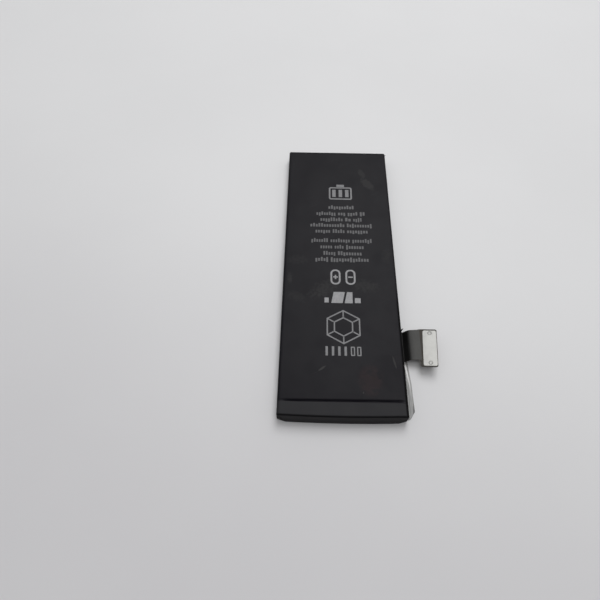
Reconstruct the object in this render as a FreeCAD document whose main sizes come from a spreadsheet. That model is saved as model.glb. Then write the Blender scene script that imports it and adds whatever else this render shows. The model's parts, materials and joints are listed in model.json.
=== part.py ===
import FreeCAD, Part
import math
import os
import re

import Sketcher

# Flat lithium pouch battery for a mobile phone, lying label up.
# Origin: centre of the adhesive sheet's lower face. +X points to the connector, +Y away from the
# protection board, +Z out of the label.

doc = FreeCAD.newDocument("PhoneBattery")
sheet = doc.addObject("Spreadsheet::Sheet", "Sizes")

# Driving dimensions, in millimetres and degrees.
SIZES = [
    # The finished pack, from the surface it lies on to the label
    ("pack_length", 91.6),
    ("pack_width", 32.2),
    ("pack_thickness", 3.8),
    ("play", 0.05),
    ("overshoot", 1.0),
    # Label film, wrapped round everything and lapped on the back
    ("film", 0.1),
    ("top_round", 0.75),
    ("back_round", 0.5),
    ("end_round", 0.36),
    ("lap_width", 7.0),
    ("lap_taper", 0.9),
    # Valley that the film makes between the cell and the board
    ("bay_drop", 0.1),
    ("valley_width", 1.1),
    ("valley_depth", 0.32),
    ("valley_round", 0.35),
    ("valley_setback", 0.85),
    ("valley_left_margin", 2.0),
    ("valley_right_margin", 0.9),
    # Pouch cell
    ("bay_length", 4.7),
    ("shoulder", 0.9),
    ("end_shoulder", 0.8),
    ("seal_thickness", 0.25),
    ("seal_height", 2.5),
    ("seal_setback", 0.6),
    ("terrace_length", 3.6),
    ("terrace_margin", 0.4),
    ("terrace_chamfer", 0.7),
    # Cell tabs
    ("tab_thickness", 0.1),
    ("tab_width", 3.0),
    ("tab_bend", 0.2),
    ("tab_pitch", 12.0),
    ("tab_offset", -3.0),
    ("tab_reach", 2.5),
    ("seal_film", 0.06),
    ("seal_film_length", 0.3),
    ("seal_film_margin", 0.8),
    # Protection board
    ("board_pad_inset", 0.15),
    ("board_margin", 0.88),
    ("board_width", 3.2),
    ("board_thickness", 0.6),
    ("board_corner", 0.3),
    ("board_setback", 0.85),
    ("weld_plate_length", 3.6),
    ("weld_plate_width", 2.2),
    ("weld_plate_thickness", 0.25),
    ("chip_room", 0.75),
    ("chip_gap", 0.3),
    ("chip_draft", 0.08),
    ("pair_pitch", 1.28),
    ("cap_length", 0.28),
    ("cap_wall", 0.03),
    # Tape over the board
    ("board_tape", 0.08),
    ("board_tape_bend", 0.3),
    ("board_tape_foot", 0.3),
    # Flexible circuit
    ("flex_thickness", 0.12),
    ("landing_length", 3.2),
    ("landing_width", 2.7),
    ("landing_bend", 0.3),
    ("arm_bottom", 1.15),
    ("tongue_top", 24.6),
    ("tongue_width", 8.7),
    ("exit_height", 0.95),
    ("exit_bend", 0.15),
    ("rise_start", 0.8),
    ("rise_end", 2.1),
    ("rise_bend", 0.5),
    ("crest_bend", 1.0),
    ("slot_height", 0.44),
    ("slot_lift", 0.055),
    ("slot_play", 0.2),
    # Connector head
    ("head_height", 3.05),
    ("head_out", 7.12),
    ("head_up", 19.0),
    ("head_length", 10.25),
    ("head_width", 3.5),
    ("head_corner", 0.5),
    ("head_skew", 4.0),
    ("head_tilt", 8.5),
    ("head_rim", 0.24),
    ("head_far_rim", 0.42),
    ("head_lip", 0.65),
    ("plate_thickness", 0.25),
    ("mark_radius", 0.56),
    ("mark_boss", 0.36),
    ("mark_depth", 0.06),
    ("mark_inset", 0.85),
    ("housing_length", 8.4),
    ("housing_width", 2.8),
    ("housing_height", 0.9),
    ("housing_corner", 0.25),
    ("housing_bevel", 0.08),
    ("housing_side_wall", 0.35),
    ("housing_end_wall", 0.5),
    ("moat_width", 0.55),
    ("moat_depth", 0.65),
    ("contact_thickness", 0.08),
    ("contact_reach", 0.5),
    ("signal_width", 0.3),
    ("signal_pitch", 0.8),
    ("power_width", 1.3),
    ("power_offset", 2.4),
    # Adhesive sheet and pull tab on the back
    ("tape", 0.15),
    ("sheet_far_margin", 7.8),
    ("sheet_side_margin", 3.6),
    ("sheet_gap", 1.1),
    ("sheet_corner", 2.0),
    ("pull_film", 0.1),
    ("pull_upper", 17.0),
    ("pull_out", 2.15),
    ("pull_setback", 0.5),
    ("pull_rise", 1.4),
    ("pull_cut_across", 1.2),
    ("pull_cut_along", 2.2),
    ("pull_lean", 0.8),
    ("pull_shoulder", 7.6),
    ("pull_corner", 0.9),
    ("pull_tape_margin", 2.0),
]

# Parts soldered on the board: length, width and height
CHIPS = {
    "gauge_chip": (2.4, 2.2, 0.6),
    "protection_chip": (1.4, 1.6, 0.55),
    "switch_chip": (2.6, 2.4, 0.5),
    "sense_resistor": (1.6, 0.8, 0.4),
    "thermistor": (1.0, 0.5, 0.4),
    "capacitor": (1.0, 0.5, 0.5),
}
for chip, measures in CHIPS.items():
    SIZES += zip((f"{chip}_length", f"{chip}_width", f"{chip}_height"), measures)

# Places worked out from the sizes. Each may name sizes and other places.
PLACES = {
    "pack_end": "(-pack_length / 2)",
    "inner_end": "(pack_end + film + play)",
    "inner_right": "(pack_width / 2 - film)",
    "flex_middle": "(inner_right - play - flex_thickness / 2)",
    "seal_right": "(flex_middle - flex_thickness / 2 - play)",
    "cell_right": "(seal_right - seal_thickness - play)",
    "cell_back": "(tape + film)",
    "cell_top": "(pack_thickness - film - play)",
    "cell_end": "(pack_end + bay_length)",
    "cell_far": "(-inner_end)",
    "terrace_end": "(cell_end - terrace_length)",
    "terrace_top": "(cell_back + seal_thickness)",
    "tape_top": "(pack_thickness - bay_drop - film - play)",
    "board_top": "(tape_top - board_tape - chip_room)",
    "board_bottom": "(board_top - board_thickness)",
    "board_half": "(cell_right - board_margin)",
    "board_middle": "(cell_end - board_setback - board_width / 2)",
    "tape_leg": "(inner_end + board_tape / 2)",
    "tab_turn": "(inner_end + board_tape + play + tab_thickness / 2)",
    "tab_height": "(cell_back + seal_thickness / 2)",
    "weld_top": "(board_top + weld_plate_thickness)",
    "valley_middle": "(cell_end - valley_setback)",
    "valley_near": "(valley_middle - valley_width / 2)",
    "valley_far": "(valley_middle + valley_width / 2)",
    "bay_top": "(pack_thickness - bay_drop)",
    "tongue_upper": "(pack_end + tongue_top)",
    "arm_lower": "(board_middle - landing_width / 2)",
    "negative_place": "(tab_offset - tab_pitch / 2)",
    "positive_place": "(tab_offset + tab_pitch / 2)",
    "packaged_length": "(gauge_chip_length + protection_chip_length)",
    "row_length": "(packaged_length + sense_resistor_length + 2 * chip_gap)",
    "row_start": "(tab_offset - row_length / 2)",
    "rise_foot": "(pack_width / 2 + rise_start)",
    "rise_head": "(pack_width / 2 + rise_end)",
    "head_right": "(pack_width / 2 + head_out)",
    "head_middle": "(pack_end + head_up)",
    "crest_height": "(head_height - (head_right - rise_head) * tan(head_tilt))",
    "plate_top": "(flex_thickness / 2 + plate_thickness)",
    "housing_bottom": "(-flex_thickness / 2 - housing_height)",
    "contact_top": "(housing_bottom + contact_reach)",
    "lap_start": "(-pack_width / 2 + back_round)",
    "lap_edge": "(lap_start + lap_width)",
    "sheet_left": "(lap_edge + sheet_gap)",
    "sheet_right": "(pack_width / 2 - sheet_side_margin)",
    "sheet_near": "(pull_top + sheet_gap)",
    "sheet_far": "(pack_length / 2 - sheet_far_margin)",
    "pull_right": "(pack_width / 2 + pull_out)",
    "pull_left": "(lap_edge + sheet_gap)",
    "pull_bottom": "(pack_end + pull_setback)",
    "pull_top": "(pack_end + pull_upper)",
}
# The connector head is turned in its own plane, and that plane rises away from the pack.
HEAD_TURN = "rotation(vector(0; 1; 0); -head_tilt) * rotation(vector(0; 0; 1); -head_skew)"

# Coordinates that differ by less count as equal.
CLOSE = 1e-4

SIZE_NAMES = {name for name, value in SIZES}
WORD = re.compile(r"[a-z_]+")
made = []


def fill_sheet():
    """Writes each size into the sheet as a plain number with an alias."""
    for row, (name, value) in enumerate(SIZES, start=1):
        sheet.set(f"A{row}", name)
        sheet.set(f"B{row}", str(value))
        sheet.setAlias(f"B{row}", name)
    doc.recompute()


def bound(text):
    """The expression with every place opened up and every size pointing at its cell."""

    def swap(found):
        word = found.group(0)
        if word in PLACES:
            return bound(PLACES[word])
        return "Sizes." + word if word in SIZE_NAMES else word

    return WORD.sub(swap, str(text))


def number(text):
    """The value that an expression has now."""
    return float(sheet.evalExpression(bound(text)))


def new_body(label, right="0", away="0", up="0"):
    """A body whose own origin is placed by three expressions."""
    body = doc.addObject("PartDesign::Body", label)
    body.Label = label
    for axis, text in zip("xyz", (right, away, up)):
        body.setExpression(f"Placement.Base.{axis}", bound(text))
    return body


def new_sketch(body, plane, offset="0"):
    """A sketch on one of the body's own planes, moved along the plane's normal."""
    sketch = body.newObject("Sketcher::SketchObject", f"{body.Name}_sketch")
    base = next(f for f in body.Origin.OriginFeatures if f.Role == f"{plane}_Plane")
    sketch.AttachmentSupport = [(base, "")]
    sketch.MapMode = "FlatFace"
    sketch.setExpression("AttachmentOffset.Base.z", bound(offset))
    return sketch


def lock(sketch, geometry, point, across, along):
    """Binds one point of a sketch to two expressions."""
    for kind, text in (("DistanceX", across), ("DistanceY", along)):
        index = sketch.addConstraint(Sketcher.Constraint(kind, -1, 1, geometry, point, number(text)))
        name = f"at_{index}"
        sketch.renameConstraint(index, name)
        sketch.setExpression(f"Constraints.{name}", bound(text))


def set_radius(sketch, geometry, radius):
    index = sketch.addConstraint(Sketcher.Constraint("Radius", geometry, number(radius)))
    name = f"radius_{index}"
    sketch.renameConstraint(index, name)
    sketch.setExpression(f"Constraints.{name}", bound(radius))


def corner_arc(before, corner, after, radius):
    """The arc that rounds a corner, its two tangent points, and whether it turns left."""
    back = (before - corner).normalize()
    ahead = (after - corner).normalize()
    half = back.getAngle(ahead) / 2
    reach = radius / math.tan(half)
    first = corner + back * reach
    last = corner + ahead * reach
    centre = corner + (back + ahead).normalize() * (radius / math.sin(half))
    left = (corner - before).cross(after - corner).z > 0
    start, end = (first, last) if left else (last, first)
    start_angle = math.atan2(start.y - centre.y, start.x - centre.x)
    end_angle = math.atan2(end.y - centre.y, end.x - centre.x)
    circle = Part.Circle(centre, FreeCAD.Vector(0, 0, 1), radius)
    return Part.ArcOfCircle(circle, start_angle, end_angle), first, last, left


def draw(sketch, corners, closed=True):
    """Straight lines from corner to corner: (across, along), with a radius third if it is rounded."""
    points = [FreeCAD.Vector(number(c[0]), number(c[1]), 0) for c in corners]
    count = len(corners)
    arcs = {}
    for i, corner in enumerate(corners):
        if len(corner) == 3:
            after = points[(i + 1) % count]
            arcs[i] = corner_arc(points[i - 1], points[i], after, number(corner[2]))
    lines = []
    for i in range(count if closed else count - 1):
        j = (i + 1) % count
        start = arcs[i][2] if i in arcs else points[i]
        end = arcs[j][1] if j in arcs else points[j]
        lines.append(sketch.addGeometry(Part.LineSegment(start, end), False))
    for i, corner in enumerate(corners):
        before = lines[i - 1] if closed or i > 0 else None
        after = lines[i] if closed or i < count - 1 else None
        if i in arcs:
            arc, first, last, left = arcs[i]
            curve = sketch.addGeometry(arc, False)
            spot = sketch.addGeometry(Part.Point(points[i]), True)
            lock(sketch, spot, 1, corner[0], corner[1])
            sketch.addConstraint(Sketcher.Constraint("PointOnObject", spot, 1, before))
            sketch.addConstraint(Sketcher.Constraint("PointOnObject", spot, 1, after))
            sketch.addConstraint(Sketcher.Constraint("Tangent", before, 2, curve, 1 if left else 2))
            sketch.addConstraint(Sketcher.Constraint("Tangent", after, 1, curve, 2 if left else 1))
            set_radius(sketch, curve, corner[2])
            continue
        if before is not None and after is not None:
            sketch.addConstraint(Sketcher.Constraint("Coincident", before, 2, after, 1))
        line, end = (after, 1) if after is not None else (before, 2)
        lock(sketch, line, end, corner[0], corner[1])
    return sketch


def draw_circle(sketch, across, along, radius):
    centre = FreeCAD.Vector(number(across), number(along), 0)
    circle = Part.Circle(centre, FreeCAD.Vector(0, 0, 1), number(radius))
    index = sketch.addGeometry(circle, False)
    lock(sketch, index, 3, across, along)
    set_radius(sketch, index, radius)


def rectangle(across, along, radius=None, middle=("0", "0")):
    """Corners of a rectangle about a middle point, rounded if a radius is given."""
    tail = () if radius is None else (radius,)
    signs = ((-1, -1), (1, -1), (1, 1), (-1, 1))
    return [
        (f"{middle[0]} + {sx} * ({across}) / 2", f"{middle[1]} + {sy} * ({along}) / 2") + tail
        for sx, sy in signs
    ]


def pad(body, sketch, length, symmetric=False, reverse=False):
    feature = body.newObject("PartDesign::Pad", f"{body.Name}_pad")
    feature.Profile = sketch
    feature.setExpression("Length", bound(length))
    feature.SideType = "Symmetric" if symmetric else "One side"
    feature.Reversed = reverse
    doc.recompute()
    return feature


def pocket(body, sketch, depth, symmetric=False, reverse=False):
    """A pocket that has to take something away."""
    before = body.Shape.Volume
    feature = body.newObject("PartDesign::Pocket", f"{body.Name}_pocket")
    feature.Profile = sketch
    feature.setExpression("Length", bound(depth))
    feature.SideType = "Symmetric" if symmetric else "One side"
    feature.Reversed = reverse
    doc.recompute()
    if body.Shape.Volume >= before:
        raise RuntimeError(f"{body.Label}: a pocket cut nothing")
    return feature


def dress(body, kind, size, chosen):
    """Rounds or bevels the body's edges that chosen() accepts."""
    base = body.Tip
    names = [f"Edge{n}" for n, edge in enumerate(base.Shape.Edges, start=1) if chosen(edge)]
    if not names:
        raise RuntimeError(f"{body.Label}: no edge to {kind.lower()}")
    feature = body.newObject(f"PartDesign::{kind}", f"{body.Name}_{kind.lower()}")
    feature.Base = (base, names)
    feature.setExpression("Radius" if kind == "Fillet" else "Size", bound(size))
    doc.recompute()
    return feature


def bent_strip(body, plane, path, profile_plane, profile_offset, profile):
    """A strip of constant section that follows a path of straight runs and tangent arcs."""
    spine = draw(new_sketch(body, plane), path, closed=False)
    section = draw(new_sketch(body, profile_plane, profile_offset), profile)
    doc.recompute()
    feature = body.newObject("PartDesign::AdditivePipe", f"{body.Name}_strip")
    feature.Profile = section
    feature.Spine = (spine, [])
    feature.Transition = "Transformed"
    doc.recompute()
    return feature


def keep(piece, label=None):
    """Marks a finished object as one of the pieces to write out."""
    piece.Label = label or piece.Label
    made.append(piece)
    return piece


def is_vertical(edge):
    box = edge.BoundBox
    return box.ZLength > CLOSE and box.XLength < CLOSE and box.YLength < CLOSE


def lies_at(edge, axis, *values):
    """True if the whole edge lies in a plane where that coordinate has one of the values."""
    box = edge.BoundBox
    low, high = {"x": (box.XMin, box.XMax), "y": (box.YMin, box.YMax), "z": (box.ZMin, box.ZMax)}[axis]
    return any(abs(low - value) < CLOSE and abs(high - value) < CLOSE for value in values)


# The pouch cell and its tabs
def pouch_cell():
    """Sealed aluminium laminate pouch: drawn cup, folded side seals and the terrace at the tab end."""
    body = new_body("pouch_cell", up="cell_back")
    height = "(cell_top - cell_back)"
    middle = "(-(cell_far + cell_end) / 2)"
    cup = new_sketch(body, "XZ", middle)
    draw(cup, [
        ("-cell_right", "0"),
        ("cell_right", "0"),
        ("cell_right", height, "shoulder"),
        ("-cell_right", height, "shoulder"),
    ])
    pad(body, cup, "cell_far - cell_end", symmetric=True)
    near = number("cell_end")
    far = number("cell_far")
    dress(body, "Fillet", "end_shoulder", lambda e: lies_at(e, "y", near, far) and not lies_at(e, "z", 0))
    dress(body, "Fillet", "seal_thickness", lambda e: lies_at(e, "y", far) and lies_at(e, "z", 0))
    for side in (1, -1):
        fold = new_sketch(body, "XZ", middle)
        draw(fold, [
            (f"{side} * (cell_right - seal_thickness)", "0"),
            (f"{side} * seal_right", "0", "seal_thickness"),
            (f"{side} * seal_right", "seal_height"),
            (f"{side} * (seal_right - seal_thickness)", "seal_height"),
            (f"{side} * (seal_right - seal_thickness)", "seal_thickness"),
            (f"{side} * (cell_right - seal_thickness)", "seal_thickness"),
        ])
        pad(body, fold, "cell_far - cell_end - 2 * seal_setback", symmetric=True)
    terrace = new_sketch(body, "XY")
    draw(terrace, [
        ("-(cell_right - terrace_margin)", "cell_end + seal_thickness"),
        ("-(cell_right - terrace_margin)", "terrace_end"),
        ("cell_right - terrace_margin", "terrace_end"),
        ("cell_right - terrace_margin", "cell_end + seal_thickness"),
    ])
    pad(body, terrace, "seal_thickness")
    edge_y = number("terrace_end")
    dress(body, "Chamfer", "terrace_chamfer", lambda e: is_vertical(e) and lies_at(e, "y", edge_y))
    keep(body)


def cell_tab(label, place):
    """Metal tab that leaves the terrace, turns up past the board and folds back on to its weld plate."""
    body = new_body(label, right=place)
    path = [
        ("terrace_end", "tab_height"),
        ("tab_turn", "tab_height", "tab_bend"),
        ("tab_turn", "weld_top + tab_thickness / 2", "tab_bend"),
        ("tab_turn + tab_reach", "weld_top + tab_thickness / 2"),
    ]
    section = rectangle("tab_width", "tab_thickness", middle=("0", "tab_height"))
    bent_strip(body, "YZ", path, "XZ", "-(terrace_end)", section)
    keep(body)


def tab_seal(label, place):
    """Polymer film bonded to both faces of a tab where it leaves the terrace."""
    body = new_body(label, right=place, away="terrace_end", up="tab_height")
    band = "tab_thickness + 2 * seal_film"
    outline = new_sketch(body, "XZ")
    draw(outline, rectangle("tab_width + 2 * seal_film_margin", band))
    pad(body, outline, "seal_film_length")
    opening = new_sketch(body, "XZ")
    draw(opening, rectangle("tab_width", "tab_thickness"))
    pocket(body, opening, "2 * seal_film_length", symmetric=True)
    keep(body)


# The protection board
def board_pad():
    body = new_body("board_pad", away="board_middle", up="terrace_top")
    outline = new_sketch(body, "XY")
    draw(outline, rectangle("2 * (board_half - board_pad_inset)", "board_width - 2 * board_pad_inset"))
    pad(body, outline, "board_bottom - terrace_top")
    keep(body)


def protection_board():
    body = new_body("protection_board", away="board_middle", up="board_bottom")
    outline = new_sketch(body, "XY")
    draw(outline, rectangle("2 * board_half", "board_width", "board_corner"))
    pad(body, outline, "board_thickness")
    keep(body)


def weld_plate(label, place):
    body = new_body(label, right=place, away="board_middle", up="board_top")
    outline = new_sketch(body, "XY")
    draw(outline, rectangle("weld_plate_length", "weld_plate_width", "board_corner"))
    pad(body, outline, "weld_plate_thickness")
    keep(body)


def packaged_chip(label, place):
    """Moulded chip with a drafted top edge."""
    body = new_body(label, right=place, away="board_middle", up="board_top")
    outline = new_sketch(body, "XY")
    draw(outline, rectangle(f"{label}_length", f"{label}_width"))
    pad(body, outline, f"{label}_height")
    top = number(f"{label}_height")
    dress(body, "Chamfer", "chip_draft", lambda e: lies_at(e, "z", top))
    keep(body)


def capped_chip(kind, label, right, away, turned=False):
    """Ceramic chip with a plated cap, slightly larger than the body, on each end."""
    body = new_body(label, right=right, away=away, up="board_top")
    body.setExpression("Placement.Rotation.Angle", "90" if turned else "0")
    middle = ("0", f"{kind}_height / 2")
    core = new_sketch(body, "YZ")
    draw(core, rectangle(f"{kind}_width - 2 * cap_wall", f"{kind}_height - 2 * cap_wall", middle=middle))
    pad(body, core, f"{kind}_length - cap_length", symmetric=True)
    for side in (1, -1):
        cap = new_sketch(body, "YZ", f"{side} * ({kind}_length - cap_length) / 2")
        draw(cap, rectangle(f"{kind}_width", f"{kind}_height", middle=middle))
        pad(body, cap, "cap_length", symmetric=True)
    keep(body)


def chips():
    """The soldered parts: a row between the tabs, the switch past the positive one, and two capacitors."""
    start = "row_start"
    for name in ("gauge_chip", "protection_chip"):
        packaged_chip(name, f"{start} + {name}_length / 2")
        start += f" + {name}_length + chip_gap"
    right = f"{start} + sense_resistor_length / 2"
    capped_chip("sense_resistor", "sense_resistor", right, "board_middle - pair_pitch / 2")
    capped_chip("thermistor", "thermistor", right, "board_middle + pair_pitch / 2")
    packaged_chip("switch_chip", "positive_place + (weld_plate_length + switch_chip_length) / 2 + chip_gap")
    left_end = "chip_gap + capacitor_width / 2 - board_half"
    for count, side in ((1, -1), (2, 1)):
        away = f"board_middle + {side} * pair_pitch / 2"
        capped_chip("capacitor", f"capacitor_{count}", left_end, away, turned=True)


def board_tape():
    """Insulating tape laid over the parts and turned down in front of the tabs."""
    body = new_body("board_tape")
    top = "(tape_top - board_tape / 2)"
    path = [
        ("valley_near", top),
        ("tape_leg", top, "board_tape_bend"),
        ("tape_leg", "cell_back + board_tape_foot"),
    ]
    section = rectangle("2 * board_half", "board_tape", middle=("0", top))
    bent_strip(body, "YZ", path, "XZ", "-valley_near", section)
    keep(body)


# The flexible circuit and the connector head
def flex_cable():
    """Flexible circuit: landing on the board, arm along the cell's side and tongue out of the label."""
    body = new_body("flex_cable")
    land_height = "(board_top + flex_thickness / 2)"
    exit_path = [
        ("flex_middle", "arm_bottom + exit_bend"),
        ("flex_middle", "exit_height", "exit_bend"),
        ("rise_foot", "exit_height", "rise_bend"),
        ("rise_head", "crest_height", "crest_bend"),
        ("head_right", "head_height"),
    ]
    tongue_middle = ("flex_middle", "tongue_upper - tongue_width / 2")
    tongue_section = rectangle("flex_thickness", "tongue_width", middle=tongue_middle)
    bent_strip(body, "XZ", exit_path, "XY", "arm_bottom + exit_bend", tongue_section)
    head = new_sketch(body, "XY", "head_height")
    head.setExpression("AttachmentOffset.Base.x", bound("head_right"))
    head.setExpression("AttachmentOffset.Base.y", bound("head_middle"))
    head.setExpression("AttachmentOffset.Rotation", bound(HEAD_TURN))
    draw(head, rectangle(
        "head_width + head_lip + head_rim",
        "head_length + head_rim + head_far_rim",
        "head_corner",
        middle=("(head_rim - head_lip) / 2", "(head_far_rim - head_rim) / 2"),
    ))
    pad(body, head, "flex_thickness", symmetric=True)
    arm = new_sketch(body, "YZ", "flex_middle")
    draw(arm, [
        ("arm_lower", "arm_bottom"),
        ("tongue_upper", "arm_bottom"),
        ("tongue_upper", "board_top - landing_bend"),
        ("arm_lower", "board_top - landing_bend"),
    ])
    pad(body, arm, "flex_thickness", symmetric=True)
    landing_path = [
        ("flex_middle", "board_top - landing_bend"),
        ("flex_middle", land_height, "landing_bend"),
        ("board_half - landing_length", land_height),
    ]
    landing_section = rectangle("flex_thickness", "landing_width", middle=("flex_middle", "board_middle"))
    bent_strip(body, "XZ", landing_path, "XY", "board_top - landing_bend", landing_section)
    keep(body)


def head_body(label):
    """A body in the head's own frame, whose origin is the middle of the flexible circuit there."""
    body = new_body(label, right="head_right", away="head_middle", up="head_height")
    body.setExpression("Placement.Rotation", bound(HEAD_TURN))
    return body


def stiffener_plate():
    """Steel plate on the head, with two round press marks."""
    body = head_body("stiffener_plate")
    outline = new_sketch(body, "XY", "flex_thickness / 2")
    draw(outline, rectangle("head_width", "head_length", "head_corner"))
    pad(body, outline, "plate_thickness")
    marks = new_sketch(body, "XY", "plate_top")
    for side in (1, -1):
        away = f"{side} * (head_length / 2 - mark_inset)"
        draw_circle(marks, "0", away, "mark_radius")
        draw_circle(marks, "0", away, "mark_boss")
    pocket(body, marks, "mark_depth")
    keep(body)


def connector_housing():
    """Moulded plug under the head: outer walls, a moat for the mating part and a centre island."""
    body = head_body("connector_housing")
    outline = new_sketch(body, "XY", "-flex_thickness / 2")
    draw(outline, rectangle("housing_width", "housing_length", "housing_corner"))
    pad(body, outline, "housing_height", reverse=True)
    across = "housing_width - 2 * housing_side_wall"
    along = "housing_length - 2 * housing_end_wall"
    moat = new_sketch(body, "XY", "housing_bottom")
    draw(moat, rectangle(across, along))
    draw(moat, rectangle(f"{across} - 2 * moat_width", f"{along} - 2 * moat_width"))
    pocket(body, moat, "moat_depth", reverse=True)
    bottom = number("housing_bottom")
    side = number("housing_width / 2")

    def long_rim(edge):
        """Whether it is one of the two long outer edges of the plug's mouth."""
        return lies_at(edge, "x", side, -side) and lies_at(edge, "z", bottom)

    dress(body, "Chamfer", "housing_bevel", long_rim)
    keep(body)


def contact(label, side, along, width):
    """Plated strip folded over a side wall of the plug."""
    body = head_body(label)
    outer = f"{side} * (housing_width / 2 + contact_thickness)"
    wall_outer = f"{side} * housing_width / 2"
    wall_inner = f"{side} * (housing_width / 2 - housing_side_wall)"
    inner = f"{side} * (housing_width / 2 - housing_side_wall - contact_thickness)"
    low = "housing_bottom - contact_thickness"
    section = new_sketch(body, "XZ", f"-({along})")
    draw(section, [
        (outer, "contact_top"),
        (outer, low),
        (inner, low),
        (inner, "contact_top"),
        (wall_inner, "contact_top"),
        (wall_inner, "housing_bottom"),
        (wall_outer, "housing_bottom"),
        (wall_outer, "contact_top"),
    ])
    pad(body, section, width, symmetric=True)
    keep(body)


def contacts():
    """Four strips a side: two for signals in the middle and a wide one for power at each end."""
    for side, hand in ((1, "right"), (-1, "left")):
        for end, place in ((1, "far"), (-1, "near")):
            contact(f"power_contact_{place}_{hand}", side, f"{end} * power_offset", "power_width")
        for end, row in ((-1, 1), (1, 2)):
            contact(f"signal_contact_{row}_{hand}", side, f"{end} * signal_pitch / 2", "signal_width")


# The label film
def film_form(label, inset):
    """The block that the label film follows, drawn in by an inset."""
    body = new_body(label)
    section = new_sketch(body, "XZ")
    right = f"(pack_width / 2 - {inset})"
    low = f"(tape + {inset})"
    high = f"(pack_thickness - {inset})"
    draw(section, [
        (f"-{right}", low, f"back_round - {inset}"),
        (right, low, f"back_round - {inset}"),
        (right, high, f"top_round - {inset}"),
        (f"-{right}", high, f"top_round - {inset}"),
    ])
    pad(body, section, f"pack_length - 2 * {inset}", symmetric=True)
    end = number(f"pack_length / 2 - {inset}")
    dress(body, "Fillet", f"end_round - {inset}", lambda e: lies_at(e, "y", end, -end))
    shallow = new_sketch(body, "YZ")
    draw(shallow, [
        ("pack_end - overshoot", f"bay_top - {inset}"),
        ("valley_near", f"bay_top - {inset}"),
        ("valley_far", f"pack_thickness - {inset}"),
        ("valley_far", "pack_thickness + overshoot"),
        ("pack_end - overshoot", "pack_thickness + overshoot"),
    ])
    pocket(body, shallow, "pack_width + 2 * overshoot", symmetric=True)
    dip = new_sketch(body, "YZ", "(valley_left_margin - valley_right_margin) / 2")
    draw(dip, [
        ("valley_near", f"bay_top - {inset}"),
        ("valley_middle", f"pack_thickness - valley_depth - {inset}", "valley_round"),
        ("valley_far", f"pack_thickness - {inset}"),
        ("valley_far", "pack_thickness + overshoot"),
        ("valley_near", "pack_thickness + overshoot"),
    ])
    margins = "valley_left_margin + valley_right_margin"
    pocket(body, dip, f"pack_width - ({margins}) + 2 * {inset}", symmetric=True)
    return body


def label_wrap():
    """Black label film: a closed sleeve with a lapped seam on the back and a slot in its side."""
    outside = film_form("film_outside", "0")
    inside = film_form("film_inside", "film")
    sleeve = doc.addObject("Part::Cut", "film_sleeve")
    sleeve.Base = outside
    sleeve.Tool = inside
    lap = new_body("film_lap")
    lap_section = new_sketch(lap, "XZ")
    draw(lap_section, [
        ("lap_edge", "tape"),
        ("lap_start", "tape"),
        ("lap_start + lap_taper", "tape - film"),
        ("lap_edge", "tape - film"),
    ])
    pad(lap, lap_section, "pack_length - 2 * back_round", symmetric=True)
    lapped = doc.addObject("Part::Fuse", "film_lapped")
    lapped.Base = sleeve
    lapped.Tool = lap
    slot = new_body("film_slot")
    slot_outline = new_sketch(slot, "YZ", "inner_right - play")
    draw(slot_outline, rectangle(
        "tongue_width + 2 * slot_play",
        "slot_height",
        middle=("tongue_upper - tongue_width / 2", "exit_height + slot_lift"),
    ))
    pad(slot, slot_outline, "film + 2 * play")
    wrap = doc.addObject("Part::Cut", "label_wrap")
    wrap.Base = lapped
    wrap.Tool = slot
    doc.recompute()
    keep(wrap, "label_wrap")


# The back
def adhesive_sheet():
    """Double-sided sheet that fastens the pack; its lower face is what the pack rests on."""
    body = new_body("adhesive_sheet")
    outline = new_sketch(body, "XY")
    draw(outline, [
        ("sheet_left", "sheet_near", "sheet_corner"),
        ("sheet_right", "sheet_near", "sheet_corner"),
        ("sheet_right", "sheet_far", "sheet_corner"),
        ("sheet_left", "sheet_far", "sheet_corner"),
    ])
    pad(body, outline, "tape")
    keep(body)


def pull_tab():
    """Clear film tongue under the board end; its free edge shows past the connector side."""
    body = new_body("pull_tab")
    outline = new_sketch(body, "XY")
    draw(outline, [
        ("pull_left", "pull_bottom + pull_rise"),
        ("pull_right - pull_cut_across", "pull_bottom", "pull_corner"),
        ("pull_right", "pull_bottom + pull_cut_along", "pull_corner"),
        ("pull_right", "pull_bottom + pull_shoulder", "pull_corner"),
        ("pull_right - pull_lean", "pull_top"),
        ("pull_left", "pull_top"),
    ])
    pad(body, outline, "pull_film")
    keep(body)


def pull_tape():
    """Adhesive that holds the tongue to the label."""
    body = new_body("pull_tape", up="pull_film")
    outline = new_sketch(body, "XY")
    near = "pull_bottom + pull_rise + pull_tape_margin"
    draw(outline, [
        ("pull_left + pull_tape_margin", near),
        ("pack_width / 2 - pull_tape_margin", near),
        ("pack_width / 2 - pull_tape_margin", "pull_top - pull_tape_margin"),
        ("pull_left + pull_tape_margin", "pull_top - pull_tape_margin"),
    ])
    pad(body, outline, "tape - pull_film")
    keep(body)


def check_and_write():
    """Writes one STEP file for each piece, once every object has been computed without fault."""
    doc.recompute()
    for thing in doc.Objects:
        if "Invalid" in thing.State or "Error" in thing.State:
            raise RuntimeError(f"{thing.Label}: {thing.State}")
    for piece in made:
        if piece.Shape.isNull() or not piece.Shape.isValid():
            raise RuntimeError(f"{piece.Label}: the shape is not a valid solid")
    os.makedirs("parts", exist_ok=True)
    for piece in made:
        piece.Shape.exportStep(f"parts/{piece.Label}.step")
        print(piece.Label, len(piece.Shape.Solids), round(piece.Shape.Volume, 3))


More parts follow.
